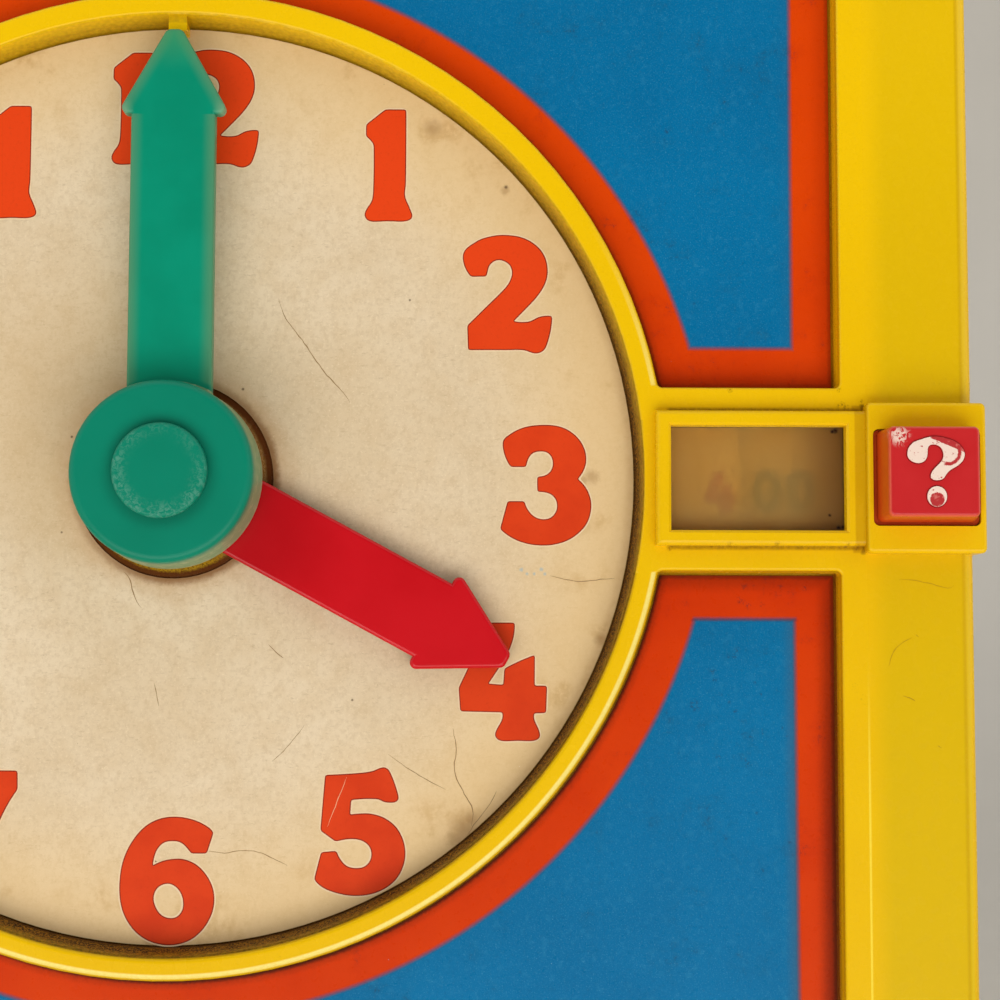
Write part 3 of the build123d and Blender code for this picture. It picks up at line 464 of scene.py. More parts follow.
def hand_green():
    """Green moulding, paler and greyer where it is thin."""
    f = Finish("hand_green", Specular_IOR_Level=0.18)
    cloud = f.noise(12, 3)
    fine = f.noise(1.2, 3)
    f.base = f.mix(cloud.step(0.3, 0.7), rgb(0, 140, 109), rgb(2, 148, 117))
    # distance from the arrow's outline, inside it
    arm = abs(f.x) * -1.0 + ARM_HALF
    slant = (abs(f.x) * -0.871 - (f.y - 76.0) * 0.492) + 1.13
    head = f.y.step(61.2, 61.6)
    edge = arm + head * 40.0
    edge = edge.least(slant.most(-0.2))
    arrow = f.radius.step(16.0, 17.0)
    f.lay(edge.step(2.4, 0.1) * arrow * 0.8, 84, 146, 108)
    f.lay(f.y.step(68, 76) * 0.55, 70, 148, 92)
    f.lay(head * f.y.step(64.5, 61.5) * abs(f.x).step(6.4, 8.6) * 0.6, 140, 176, 140)
    # thin skirt of the cap
    skirt = f.radius.step(14.2, 15.0) * f.radius.step(15.9, 15.6) * f.h.step(14.6, 11.0) * f.h.step(4.0, 5.0)
    # scuffs round the plug
    plug = f.h.step(15.9, 16.3)
    scuff = f.noise(0.8, 4, 0.8, (1, 1, 1), 1.0)
    lean = ((f.x * -0.35 - f.y * 0.75) / (f.radius + 0.1)).step(-1.0, 0.4)
    worn = plug * f.radius.step(4.4, 7.2) * scuff.step(0.44, 0.62)
    worn = worn * (f.noise(3.2, 2).step(0.38, 0.58) * 0.7 + 0.3)
    worn = worn * (lean * 0.7 + 0.3)
    f.lay(worn * 0.75, 140, 200, 178)
    f.lay(arrow.inverse() * 0.6, 6, 120, 96)
    f.lay(skirt * 0.9, 150, 186, 138)
    f.lay(skirt * fine.step(0.5, 0.62) * 0.5, 212, 214, 174)
    f.lay(skirt * f.h.step(5.6, 4.6) * 0.6, 226, 214, 170)
    f.drive("Transmission Weight", skirt * 0.3)
    top = f.h.step(14.4, 15.4)
    # painted shade round the foot of the raised plug
    f.lay(top * plug.inverse() * f.radius.step(10.5, 7.6) * 0.45, 0, 92, 72)
    f.dust((5.2, 0.2, 0.35, 0.8, 4, 64, 46), (3.0, 0.06, 0.3, 0.5, 120, 190, 165))
    f.drive("Roughness", worn * 0.3 + fine * 0.1 + 0.3)
    f.bump(fine * 0.6 + worn * 0.6, 0.02)
    return f.done()


def button_red():
    """Glossy red button whose sides are worn to orange."""
    f = Finish("button_red", Specular_IOR_Level=0.3)
    cloud = f.noise(5, 3)
    f.base = f.mix(cloud, rgb(196, 32, 36), rgb(206, 42, 44))
    wall = f.h.step(14.3, 13.4)
    f.lay(wall * (cloud * 0.5 + 0.5), 212, 84, 10)
    # painted highlight along the top edge
    f.lay(f.h.step(13.6, 14.4) * f.h.step(14.69, 14.5) * 0.6, 238, 116, 80)
    # painted shade low on the sides, inside the block's hole
    f.lay(f.h.step(9.4, 7.8) * 0.8, 150, 44, 8)
    # scuffed corner
    corner = root(f.x - 120.7, f.y - 6.4).step(2.3, 0.6)
    streak = f.noise(0.9, 4, 0.7, (1, 1, 1.5), 1.4)
    scuff = corner * (streak + corner * 0.1).step(0.54, 0.6)
    f.lay(scuff * 0.9, 244, 216, 200)
    f.dust((2.4, 0.09, 0.35, 0.6, 232, 130, 110))
    f.drive("Roughness", scuff * 0.4 + cloud * 0.1 + 0.24)
    f.bump(f.noise(0.8, 2) * 0.4 + scuff * 0.6, 0.03)
    return f.done()


def mark_paint():
    """White paint on the raised question mark, worn off in places."""
    f = Finish("mark_paint", Roughness=0.4)
    ragged = f.noise(0.35, 3, 0.7) * 0.5
    band = abs(root(f.x - 128.6, f.y - 3.6) - 1.93) + ragged
    worn = band.step(0.62, 0.45) * (f.x + f.y * -0.5).step(126.9, 127.4)
    crown = f.y + (f.x - 126.0).most(0.0) * 0.42 + ragged - 6.0
    worn = worn.most(crown.step(0.0, 0.12) * f.x.step(125.6, 126.0))
    dot = root(f.x - 126.75, f.y + 4.2) + ragged
    worn = worn.most(dot.step(1.5, 1.35))
    worn = worn.most(f.noise(0.6, 3, 0.7).step(0.62, 0.68))
    worn = worn.most(f.h.step(14.98, 14.9))
    under = f.mix(f.noise(0.7, 3).step(0.52, 0.66) * 0.6, rgb(186, 42, 44), rgb(226, 128, 118))
    f.base = f.mix(worn, rgb(246, 222, 206), under)
    f.bump(worn.inverse() * 0.7 + f.noise(0.3, 2) * 0.3, 0.03)
    return f.done()


def pane_frosted():
    """Frosted yellowed pane."""
    f = Finish("pane_frosted", IOR=1.45, Transmission_Weight=0.84, Specular_IOR_Level=0.3)
    cloud = f.noise(9, 3)
    f.base = f.mix(cloud.step(0.3, 0.7), rgb(250, 208, 118), rgb(254, 216, 130))
    # painted shade: the pane darker towards its right and towards its bottom
    f.lay((f.x + cloud * 2.0).step(104.5, 114.0) * 0.7, 176, 116, 36)
    f.lay((f.y + cloud * 2.0).step(-4.0, -8.6) * 0.4, 190, 130, 44)
    f.dust((2.4, 0.13, 0.35, 0.7, 250, 236, 190), (5.0, 0.16, 0.3, 0.8, 90, 50, 10))
    bits = f.marks([
        (111.9, 8.2, 0.75), (111.4, 8.0, 0.5), (110.8, -6.1, 0.4), (112.3, -8.2, 0.6), (113.0, -8.1, 0.5),
    ], f.noise(0.4, 3, 0.7))
    f.lay(bits, 50, 16, 6)
    f.drive("Roughness", cloud * 0.06 + 0.26)
    f.bump(f.noise(0.4, 3), 0.012)
    return f.done()


def inner_white():
    """Plain white moulding inside the case."""
    f = Finish("inner_white", Roughness=0.45)
    f.base = f.mix(f.noise(9, 3), rgb(222, 217, 204), rgb(234, 230, 218))
    f.bump(f.noise(0.7, 2), 0.01)
    return f.done()


def number_print():
    """Printed band on a number disc."""
    f = Finish("number_print", Roughness=0.5)
    f.base = f.mix(f.noise(8, 3), rgb(236, 228, 208), rgb(242, 236, 218))
    f.bump(f.noise(0.4, 2), 0.008)
    return f.done()


def steel():
    """Plain zinc-plated steel."""
    f = Finish("steel", Metallic=1.0)
    f.base = f.mix(f.noise(2.0, 3), rgb(150, 150, 148), rgb(186, 186, 182))
    f.drive("Roughness", f.noise(0.8, 3) * 0.25 + 0.25)
    f.bump(f.noise(0.3, 2), 0.006)
    return f.done()


def ink(name, low, high, roughness=0.5, top=None):
    """Printed figures, a little uneven, with small flakes off. top is the colour towards the dial's top."""
    f = Finish(name, Roughness=roughness, Specular_IOR_Level=0.2)
    f.base = f.mix(f.noise(6.0, 3).step(0.3, 0.7), low, high)
    if top:
        f.base = f.mix(f.y.step(-10, 50), f.base, top)
    f.base = f.mix(f.noise(0.7, 4, 0.7).step(0.5, 0.8) * 0.35, f.base, [c * 0.8 for c in low[:3]] + [1.0])
    f.dust((3.2, 0.08, 0.4, 0.5, 240, 150, 110))
    f.bump(f.noise(0.4, 2), 0.01)
    return f.done()


materials = {
    "case_yellow": case_yellow(),
    "dial_print": dial_print(),
    "panel_print": panel_print(),
    "hour_hand_red": hour_red(),
    "hand_green": hand_green(),
    "button_red": button_red(),
    "pane_frosted": pane_frosted(),
    "inner_white": inner_white(),
    "number_print": number_print(),
    "steel": steel(),
}
for subpart in frame["record"]["subparts"]:
    for slot in nodes[subpart["node"]].material_slots:
        slot.material = materials[subpart["material_slot"]]
# painted light: the numerals lighter towards the dial's top
numeral_red = ink("numeral_red", rgb(214, 56, 6), rgb(224, 64, 12), top=rgb(236, 68, 10))
numeral_edge = ink("numeral_edge", rgb(140, 34, 8), rgb(160, 44, 12))
numeral_halo = ink("numeral_halo", rgb(236, 208, 168), rgb(240, 214, 176))
digit_red = ink("digit_red", rgb(180, 20, 14), rgb(196, 28, 20))
digit_green = ink("digit_green", rgb(0, 70, 44), rgb(4, 84, 52))
hair_brown = ink("hair_brown", rgb(150, 118, 78), rgb(168, 136, 94))

# Bold rounded slab figures in glyph units, x right and y down, 128 units wide; a third value 0 marks a corner.
GLYPH_MIDDLE = (64, 78)
GLYPH_SPACING = 1.2        # between the points of an outline
GLYPHS = {
    "0": [
        [(64, 11.5), (88, 18), (104, 40), (110, 78), (104, 116), (88, 138), (64, 144.5), (40, 138), (24, 116),
         (18, 78), (24, 40), (40, 18)],
        [(64, 39), (76, 50), (80, 78), (76, 106), (64, 117), (52, 106), (48, 78), (52, 50)],
    ],
    "1": [
        [(13, 33.5, 0), (34, 16.5, 0), (56.8, 16.5, 0), (56.8, 100), (56, 114), (62, 129), (64, 138), (57, 141.8),
         (38, 141.8), (17, 141.8), (12, 136), (14, 129), (20, 119), (21.5, 104), (21.5, 56, 0), (17, 50),
         (12.8, 46.5, 0)],
    ],
    "2": [
        [(15, 33), (30, 18.5), (45, 13), (60, 11.3), (80, 14), (96, 23), (105.5, 36), (108.4, 53), (105, 67),
         (96, 81), (85, 93), (70.5, 108, 0), (88, 108.5), (100, 103), (113.5, 102, 0), (106.5, 137), (97, 143.5),
         (82, 139.8), (64, 139.8), (21, 140, 0), (20, 113, 0), (45, 88), (58, 75), (66, 65), (69.5, 54),
         (67, 45), (61, 40.5), (54.5, 38.8), (48, 41), (43, 46.5, 0), (40.5, 57.5, 0), (23.6, 57.8, 0)],
    ],
    "3": [
        [(15, 31), (25, 20.5), (40, 13.8), (58, 11.5), (75, 12.5), (88, 17.5), (99, 27), (105.5, 39), (107, 52),
         (103.5, 63), (97.5, 71.3, 0), (106, 80), (111.5, 92), (112.5, 104), (109, 118), (101, 129), (88, 138.5),
         (72, 143.8), (56, 144.8), (40, 142.5), (25, 136.5), (12.4, 127, 0), (20.5, 96.5, 0), (38.8, 96.5, 0),
         (42, 105), (49, 113), (58, 116.4), (67.5, 115), (73.5, 109), (75.5, 101), (73, 92.5), (66, 87),
         (53.5, 85.5, 0), (53.3, 69, 0), (63, 67.2), (69, 61.5), (70.8, 54), (69, 46.5), (64, 41.5), (57, 40.3),
         (48.5, 42), (43.5, 47.5), (40.5, 57.8, 0), (23.8, 57.8, 0)],
    ],
    "4": [
        [(50, 12.5, 0), (77.2, 12.5, 0), (75.5, 30), (68, 49), (57, 66.5), (48, 79.7, 0), (65.3, 81, 0),
         (66.5, 63, 0), (82, 55.2), (99.5, 48, 0), (99.3, 81.8, 0), (113, 81.8, 0), (112, 111.2, 0),
         (98.8, 111.5, 0), (99, 119), (104, 130), (105, 138), (99, 141.6), (81, 141.6), (62, 141.6), (56.5, 137),
         (58, 130), (64, 119), (64.5, 110.6, 0), (18, 109.6, 0), (16.2, 84, 0)],
    ],
    "5": [
        [(24, 19.5, 0), (60, 17.4), (73, 15.5), (85, 11.3), (90.5, 14, 0), (101, 43), (98, 47.2, 0), (87, 47.2),
         (79, 44), (51, 45, 0), (50, 61, 0), (58, 59.8), (72, 59.8), (86, 64), (98, 73), (105.5, 86),
         (108.2, 100), (106, 114), (99, 127), (87, 137), (71, 143), (53, 144.2), (36, 141.2), (22, 135.5),
         (13.6, 127.5, 0), (20.5, 99.8, 0), (36.2, 98.4, 0), (41, 108), (48, 114.5), (58, 116.3), (67, 114),
         (72.5, 107), (73, 98), (69, 91), (61, 86.5), (50, 85.5), (35.5, 88.2, 0), (19.6, 77, 0)],
    ],
    "6": [
        [(105, 24.5), (112, 31, 0), (105.3, 52.3, 0), (89.3, 52.3, 0), (84, 45.5), (78, 40.8), (70, 39.5),
         (61, 41), (54.5, 47), (51, 55), (49.3, 65.7, 0), (58, 61.3), (70, 58.7), (82, 59), (95, 64.5),
         (106, 76), (112.5, 90), (113.6, 104), (110, 118), (101, 132), (88, 142), (70, 146.5), (50, 143.5),
         (34, 134), (22, 118), (16.5, 100), (15.8, 80), (19, 60), (27, 42), (40, 26), (55, 17.5), (72, 15),
         (90, 17.8)],
        [(65.5, 83.3), (75, 87.5), (81, 97), (81.8, 109), (77, 117), (69.5, 119.5), (60, 116.8), (53.5, 109),
         (50.6, 98), (55, 87.5)],
    ],
    "7": [
        [(17, 11.5, 0), (36, 12.5), (108, 13.5, 0), (108.5, 33, 0), (92, 62), (80, 98), (75, 141.8, 0),
         (38, 141.8, 0), (44, 104), (56, 72), (72, 44, 0), (46, 44), (36, 48), (33, 58, 0), (15.5, 58, 0)],
    ],
    "8": [
        [(64, 11.4), (84, 15), (99, 26), (104, 42), (100, 58), (90, 69.5), (104, 81), (111.5, 98), (109.5, 118),
         (97, 135), (78, 143.6), (62, 144.8), (42, 142), (24, 131), (14.5, 112), (17, 93), (29, 77), (38, 71),
         (26, 58), (23, 42), (29, 26), (44, 15)],
        [(64, 36), (73, 40), (76, 48), (72, 56), (64, 59), (55, 55), (52, 47), (55, 39.5)],
        [(63, 86), (74, 90), (80, 101), (77, 113), (66, 119), (54, 117), (46, 108), (46, 97), (53, 88.5)],
    ],
}
GLYPHS["9"] = [[(128.6 - p[0], 157.6 - p[1], *p[2:]) for p in loop] for loop in GLYPHS["6"]]
GLYPHS["?"] = [
    [(38.1, 57.3), (39.3, 50.4), (44.6, 44.6), (51.4, 42.2), (57.2, 40.2), (65.9, 39.2), (76.5, 41.2), (85.1, 44.6),
     (90.9, 50.4), (92.9, 56.3), (91.1, 62.1), (86.1, 67), (78.9, 71.4), (75, 75.3), (72.1, 79.7), (66.3, 81.2),
     (61, 79.9), (60.1, 76.3), (63, 70.9), (67.8, 66), (71.8, 61.2), (72.6, 56.3), (70.7, 50.4), (66.3, 47.3),
     (61, 47), (58.1, 49), (57.4, 53.4), (57, 58.2), (54.3, 62.9), (48.5, 64.9), (42.7, 63.3), (39.3, 60.4)],
    [(66, 86.8), (72.8, 89.7), (75.5, 96.7), (72.8, 103.6), (66, 106.6), (59.2, 103.6), (56.6, 96.7), (59.2, 89.7)],
]


def glyph_loops(character, rounding=1.5, grow=0.0):
    """Outlines of a figure as closed rings of points with rounded corners, in glyph units."""
    rings = []
    for knots in GLYPHS[character]:
        count = len(knots)
        ring = []
        for i, knot in enumerate(knots):
            before, after = Vector(knots[i - 1][:2]), Vector(knots[(i + 1) % count][:2])
            later = knots[(i + 2) % count]
            start, end = Vector(knot[:2]), after
            length = (end - start).length
            sharp_start, sharp_end = len(knot) == 3, len(knots[(i + 1) % count]) == 3
            chord = (end - start).normalized()
            leave = chord if sharp_start else (end - before).normalized()
            reach = chord if sharp_end else (Vector(later[:2]) - start).normalized()
            if sharp_start and not sharp_end:
                leave = (2 * chord - reach).normalized()
            if sharp_end and not sharp_start:
                reach = (2 * chord - leave).normalized()
            steps = max(2, round(length / GLYPH_SPACING))
            for n in range(steps):
                t = n / steps
                a, b = 2 * t ** 3 - 3 * t ** 2 + 1, t ** 3 - 2 * t ** 2 + t
                c, d = -2 * t ** 3 + 3 * t ** 2, t ** 3 - t ** 2
                ring.append(start * a + leave * (b * length) + end * c + reach * (d * length))
        # smoothed with a bell curve, whose width is the rounding
        last = round(2.5 * rounding / GLYPH_SPACING)
        weights = {k: math.exp(-((k * GLYPH_SPACING / rounding) ** 2) / 2) for k in range(-last, last + 1)}
        total = sum(weights.values())
        smooth = [
            sum((ring[(j + k) % len(ring)] * w for k, w in weights.items()), Vector((0, 0))) / total
            for j in range(len(ring))
        ]
        smooth = smooth[::2]
        area = sum(a.x * b.y - b.x * a.y for a, b in zip(smooth, smooth[1:] + smooth[:1]))
        outward = (1 if area > 0 else -1) * (1 if knots is GLYPHS[character][0] or character == "?" else -1)
        grown = []
        for j, point in enumerate(smooth):
            tangent = (smooth[(j + 1) % len(smooth)] - smooth[j - 1]).normalized()
            grown.append(point + Vector((tangent.y, -tangent.x)) * (outward * grow))
        rings.append(grown)
    return rings


def add_figure(target, character, place, thickness, rounding=1.5, grow=0.0):
    """Adds one figure to a bmesh as a thin closed slab. place maps (x, y, h) in glyph units to a point."""
    flat = bmesh.new()
    for ring in glyph_loops(character, rounding, grow):
        corners = [flat.verts.new((p.x, p.y, 0)) for p in ring]
        for a, b in zip(corners, corners[1:] + corners[:1]):
            flat.edges.new((a, b))
    bmesh.ops.triangle_fill(flat, edges=flat.edges[:], use_beauty=True, use_dissolve=False)
    flat.verts.index_update()
    tops = [target.verts.new(place(v.co.x, v.co.y, thickness)) for v in flat.verts]
    lows = [target.verts.new(place(v.co.x, v.co.y, -thickness / 2)) for v in flat.verts]
    for face in flat.faces:
        ids = [v.index for v in face.verts]
        target.faces.new([tops[i] for i in ids])
        target.faces.new([lows[i] for i in reversed(ids)])
    for edge in flat.edges:
        if len(edge.link_faces) == 1:
            a, b = (v.index for v in edge.verts)
            target.faces.new((tops[a], tops[b], lows[b], lows[a]))
    flat.free()


def finish_mesh(mesh_data, name, material, body):
    """Turns a bmesh into a piece that rides on a body."""
    bmesh.ops.recalc_face_normals(mesh_data, faces=mesh_data.faces[:])
    mesh = bpy.data.meshes.new(name)
    mesh_data.to_mesh(mesh)
    mesh_data.free()
    piece = bpy.data.objects.new(name, mesh)
    bpy.context.collection.objects.link(piece)
    mesh.materials.append(material)
    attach(piece, body)
    return piece


# Numerals on the dial: the place of each figure's own corner and its unit, in mm
numerals = [
    ("1", 30.18, 66.83, 0.1556), ("2", 46.71, 44.11, 0.1547), ("3", 53.63, 11.26, 0.1538),
    ("4", 46.13, -22.31, 0.1533), ("5", 22.36, -46.79, 0.1602), ("6", -10.53, -54.52, 0.161),
    ("7", -42.5, -47.2, 0.157), ("8", -66.0, -22.2, 0.157), ("9", -73.2, 11.8, 0.157),
    ("1", -69.8, 44.8, 0.1551), ("0", -60.2, 44.8, 0.1551), ("1", -44.0, 67.1, 0.1556),
    ("1", -34.4, 67.1, 0.1556), ("1", -13.5, 76.6, 0.1558), ("2", -4.08, 76.4, 0.156),
]


def print_numerals(name, material, thickness, rounding, grow):
    """The dial's numerals as one piece, their outline grown by some glyph units."""
    shapes = bmesh.new()
    for character, left, top, unit in numerals:

        def on_dial(x, y, h, left=left, top=top, unit=unit):
            return dial_point(left + x * unit, top - y * unit, h)

        add_figure(shapes, character, on_dial, thickness, rounding, grow)
    return finish_mesh(shapes, name, material, "case")


print_numerals("dial_numerals", numeral_red, PRINT_LIFT, 1.5, -0.8)
print_numerals("numeral_edges", numeral_edge, PRINT_LIFT * 0.7, 1.5, 0.4)
print_numerals("numeral_halos", numeral_halo, PRINT_LIFT * 0.35, 3.2, 2.0)

# Figures on the number discs, seen through the pane one at a time
HOUR_FACE, MINUTE_FACE = -2.9, -6.5
HOUR_REACH, MINUTE_REACH = 93.3, 104.7
HOUR_DROP, MINUTE_DROP = 1.7, 1.1
HOUR_INSET = 2.8
DIGIT_SIZE = 0.055         # mm to a glyph unit
DIGIT_ADVANCE = 104.0      # between two figures, in glyph units
LABEL_STEP = 30            # degrees


def disc_figures(name, labels, rest, reach, face, drop, material, body, inset=0.0):
    """A ring of upright figures on a disc; the label at index rest shows at 3 o'clock.

    Labels of two figures stand inset mm further in.
    """
    ring = bmesh.new()
    for index, label in enumerate(labels):
        angle = math.radians((index - rest) * LABEL_STEP)
        ux, uy = math.cos(angle), math.sin(angle)
        width = DIGIT_ADVANCE * (len(label) - 1)
        for n, character in enumerate(label):
            shift = n * DIGIT_ADVANCE - width / 2 - GLYPH_MIDDLE[0]

            def on_disc(x, y, h, shift=shift, label=label):
                along = reach - inset * (len(label) - 1) + (x + shift) * DIGIT_SIZE
                up = (GLYPH_MIDDLE[1] - y) * DIGIT_SIZE - drop
                return dial_point(along * ux - up * uy, along * uy + up * ux, face + h)

            add_figure(ring, character, on_disc, PRINT_LIFT)
    return finish_mesh(ring, name, material, body)


hours = [str(n) for n in range(1, 13)]
minutes = [f"{n:02d}" for n in range(0, 60, 5)]
disc_figures("hour_figures", hours, 3, HOUR_REACH, HOUR_FACE, HOUR_DROP, digit_red, "hour_works", HOUR_INSET)
disc_figures("minute_figures", minutes, 0, MINUTE_REACH, MINUTE_FACE, MINUTE_DROP, digit_green, "minute_works")

# Question mark on the button
BUTTON_TOP = 14.7
FACE_LEFT, FACE_TOP, FACE_UNIT = 119.1, 7.9, 0.1715
GLYPH_LEFT, GLYPH_TOP = 21.5, 29    # the glyph's place at that corner
MARK_HEIGHT = 0.3
mark = bmesh.new()


def on_button(x, y, h):
    return dial_point(FACE_LEFT + (x - GLYPH_LEFT) * FACE_UNIT, FACE_TOP - (y - GLYPH_TOP) * FACE_UNIT, BUTTON_TOP + h)


add_figure(mark, "?", on_button, MARK_HEIGHT, 0.9)
finish_mesh(mark, "question_mark", mark_paint(), "answer_slide")
# dark outline round the foot of the question mark: painted shade
mark_foot_shade = bmesh.new()
add_figure(mark_foot_shade, "?", on_button, PRINT_LIFT * 0.6, 1.2, 1.1)
finish_mesh(mark_foot_shade, "question_mark_foot", ink("mark_foot_shade", rgb(150, 16, 22), rgb(166, 24, 28)), "answer_slide")


CORNER_POINTS = 5


def add_collar(name, x, y, outer, inner, corner, low, high, material, body):
    """A flat closed frame with rounded corners round the place (x, y), between two heights."""
    shapes = bmesh.new()
    rings = []
    for (width, height), r in ((outer, corner), (inner, corner * 0.6)):
        loop = []
        for k, (sx, sy) in enumerate(((1, 1), (-1, 1), (-1, -1), (1, -1))):
            for n in range(CORNER_POINTS):
                turn = math.radians(90 * k + 90 / (CORNER_POINTS - 1) * n)
                loop.append((x + sx * (width / 2 - r) + r * math.cos(turn),
                             y + sy * (height / 2 - r) + r * math.sin(turn)))
        rings += [[shapes.verts.new(dial_point(*p, h)) for p in loop] for h in (low, high)]
    out_low, out_high, in_low, in_high = rings
    for i in range(len(out_low)):
        j = (i + 1) % len(out_low)
        for a, b in ((out_low, out_high), (out_high, in_high), (in_high, in_low), (in_low, out_low)):
            shapes.faces.new((a[i], a[j], b[j], b[i]))
    return finish_mesh(shapes, name, material, body)


# Thin flange of the button, just inside its hole
BUTTON_X = 126.5
FLANGE_OUTER, FLANGE_INNER, FLANGE_CORNER = (17.6, 15.9), (15.8, 14.6), 0.9
FLANGE_LOW, FLANGE_HIGH = 6.6, 7.8
add_collar("button_flange", BUTTON_X, 0.0, FLANGE_OUTER, FLANGE_INNER, FLANGE_CORNER, FLANGE_LOW, FLANGE_HIGH,
           ink("button_flange", rgb(178, 60, 8), rgb(190, 70, 12)), "answer_slide")


# Foot of the recess's outer walls and ledge under the panel's edge, which the CAD housing lacks: they close the
# channel under the bars
FOOT_REACH, FOOT_NEAR, FOOT_START = 112.42, 15.78, 109.6
FOOT_PROFILE = [(-2.6, -1.2), (-2.6, -0.32), (0.0, -0.32), (0.0, 1.25), (1.0, 1.25), (1.0, -1.2)]


def recess_line(out):
    """The recess's outer walls from the window bar round to the window bar, moved outwards by some mm."""
    far, near = FOOT_REACH + out, FOOT_NEAR - out
    return [(FOOT_START, near), (far, near), (far, far), (-far, far), (-far, -far), (far, -far), (far, -near),
            (FOOT_START, -near)]


def add_recess_foot():
    """The profile of (out, h) points swept along the recess's outer walls, closed at both ends."""
    shapes = bmesh.new()
    lines = [[shapes.verts.new(dial_point(*p, h)) for p in recess_line(out)] for out, h in FOOT_PROFILE]
    rows = list(zip(*lines))
    sides = len(FOOT_PROFILE)
    for a, b in zip(rows, rows[1:]):
        for k in range(sides):
            shapes.faces.new((a[k], a[(k + 1) % sides], b[(k + 1) % sides], b[k]))
    shapes.faces.new(rows[0])
    shapes.faces.new(rows[-1])
    return finish_mesh(shapes, "recess_foot", materials["case_yellow"], "case")


add_recess_foot()


# Hairline cracks and scratches, as flat ribbons that taper at both ends
HAIR_STEP = 0.7
HAIR_WOBBLE = 0.06
HAIR_LOW, HAIR_TOP = -0.01, 0.02    # from the surface


def add_hair(target, points, width, height):
    """Adds a thin closed ribbon along a smooth line of (x, y) points in mm.

    height is that of the surface, or a function that gives it at an x.
    """
    line = []
    count = len(points)
    for i in range(count - 1):
        p = [Vector(points[min(max(j, 0), count - 1)]) for j in (i - 1, i, i + 1, i + 2)]
        steps = max(3, round((p[2] - p[1]).length / HAIR_STEP))
        for n in range(steps):
            t = n / steps
            line.append(0.5 * (
                2 * p[1] + (p[2] - p[0]) * t + (2 * p[0] - 5 * p[1] + 4 * p[2] - p[3]) * t ** 2
                + (3 * p[1] - p[0] - 3 * p[2] + p[3]) * t ** 3
            ))
    line.append(Vector(points[-1]))
    rows = []
    for i, point in enumerate(line):
        ahead = (line[min(i + 1, len(line) - 1)] - line[max(i - 1, 0)]).normalized()
        taper = min(1.0, 0.25 + 4 * min(i, len(line) - 1 - i) / len(line))
        across = Vector((-ahead.y, ahead.x)) * (width / 2 * taper * random.uniform(0.6, 1.2))
        point = point + Vector((-ahead.y, ahead.x)) * random.uniform(-HAIR_WOBBLE, HAIR_WOBBLE)
        level = height(point.x) if callable(height) else height
        rows.append([
            target.verts.new(dial_point(*(point + side * across), level + rise))
            for side, rise in ((-1, HAIR_LOW), (-1, HAIR_TOP), (1, HAIR_TOP), (1, HAIR_LOW))
        ])
    for a, b in zip(rows, rows[1:]):
        for k in range(4):
            target.faces.new((a[k], a[(k + 1) % 4], b[(k + 1) % 4], b[k]))
    target.faces.new(rows[0])
    target.faces.new(rows[-1])


cracks = [
    ([(17.4, 31.2), (18.6, 27.8), (21.5, 24.0), (25.3, 18.6), (28.6, 15.0), (29.8, 13.2)], 0.16),
    ([(64.0, -16.2), (66.5, -16.8), (69.5, -17.2), (72.6, -16.8), (75.0, -16.6)], 0.14),
    ([(47.6, -42.0), (48.2, -45.5), (47.9, -49.2), (49.6, -53.0), (51.0, -55.6), (50.8, -58.4)], 0.16),
    ([(6.6, -62.6), (9.4, -62.9), (12.2, -62.5), (15.0, -62.7), (17.6, -63.8), (20.0, -64.9)], 0.12),
    ([(22.6, -41.6), (20.2, -44.6), (18.6, -46.4), (17.2, -47.6)], 0.1),
    ([(36.8, -46.4), (40.2, -48.8), (43.2, -50.6), (46.4, -52.2)], 0.1),
    ([(-8.2, -15.8), (-7.2, -17.2), (-6.4, -20.0), (-5.2, -21.9)], 0.16),
    ([(-2.8, -34.5), (-2.4, -36.4), (-2.0, -38.4)], 0.12),
    ([(16.4, -28.0), (17.8, -29.4), (18.9, -30.3)], 0.12),
    ([(55.0, -52.4), (54.0, -54.6), (51.6, -57.6), (50.2, -59.8)], 0.12),
    ([(-52.0, 20.0), (-47.0, 16.0), (-44.5, 10.0)], 0.12),
]
hairs = bmesh.new()
for points, width in cracks:
    add_hair(hairs, points, width, 0.0)
finish_mesh(hairs, "dial_cracks", hair_brown, "case")

# Scratches on the case's right bar, which falls to its outer edge, and one across the 5


def bar_height(x):
    """Height of the right bar's face."""
    return RIM_HEIGHT - BAR_DROP * min(max((x - BAR_START) / (BAR_END - BAR_START), 0.0), 1.0)


scratches = [
    ([(120.5, -31.4), (121.0, -29.6), (121.8, -28.3), (123.2, -27.2), (124.5, -26.6)], 0.13),
    ([(125.2, -26.0), (125.6, -26.5)], 0.12),
    ([(122.8, -36.3), (123.9, -36.6), (124.9, -37.1)], 0.15),
    ([(122.4, -16.8), (125.3, -17.0), (128.1, -17.6), (130.7, -18.2), (131.8, -17.8)], 0.1),
    ([(128.6, -44.6), (129.3, -44.9)], 0.14),
]
marks = bmesh.new()
for points, width in scratches:
    add_hair(marks, points, width, bar_height)
scratch_brown = ink("scratch_brown", rgb(176, 134, 4), rgb(192, 148, 6))
finish_mesh(marks, "case_scratches", scratch_brown, "case")
numeral_scratch = bmesh.new()
add_hair(numeral_scratch, [(29.8, -50.2), (28.2, -54.4), (26.6, -58.5)], 0.13, PRINT_LIFT)
finish_mesh(numeral_scratch, "numeral_scratch", ink("scratch_pale", rgb(228, 150, 110), rgb(236, 170, 130)), "case")


# Return spring: a copy of the CAD coil in steel, riding on the case, in place of the hidden CAD part
coil = bpy.data.objects.new("spring_coil", nodes["return_spring"].data.copy())
bpy.context.collection.objects.link(coil)
for slot in coil.material_slots:
    slot.material = materials["steel"]
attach(coil, "case")
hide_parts("return_spring")
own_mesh(coil)


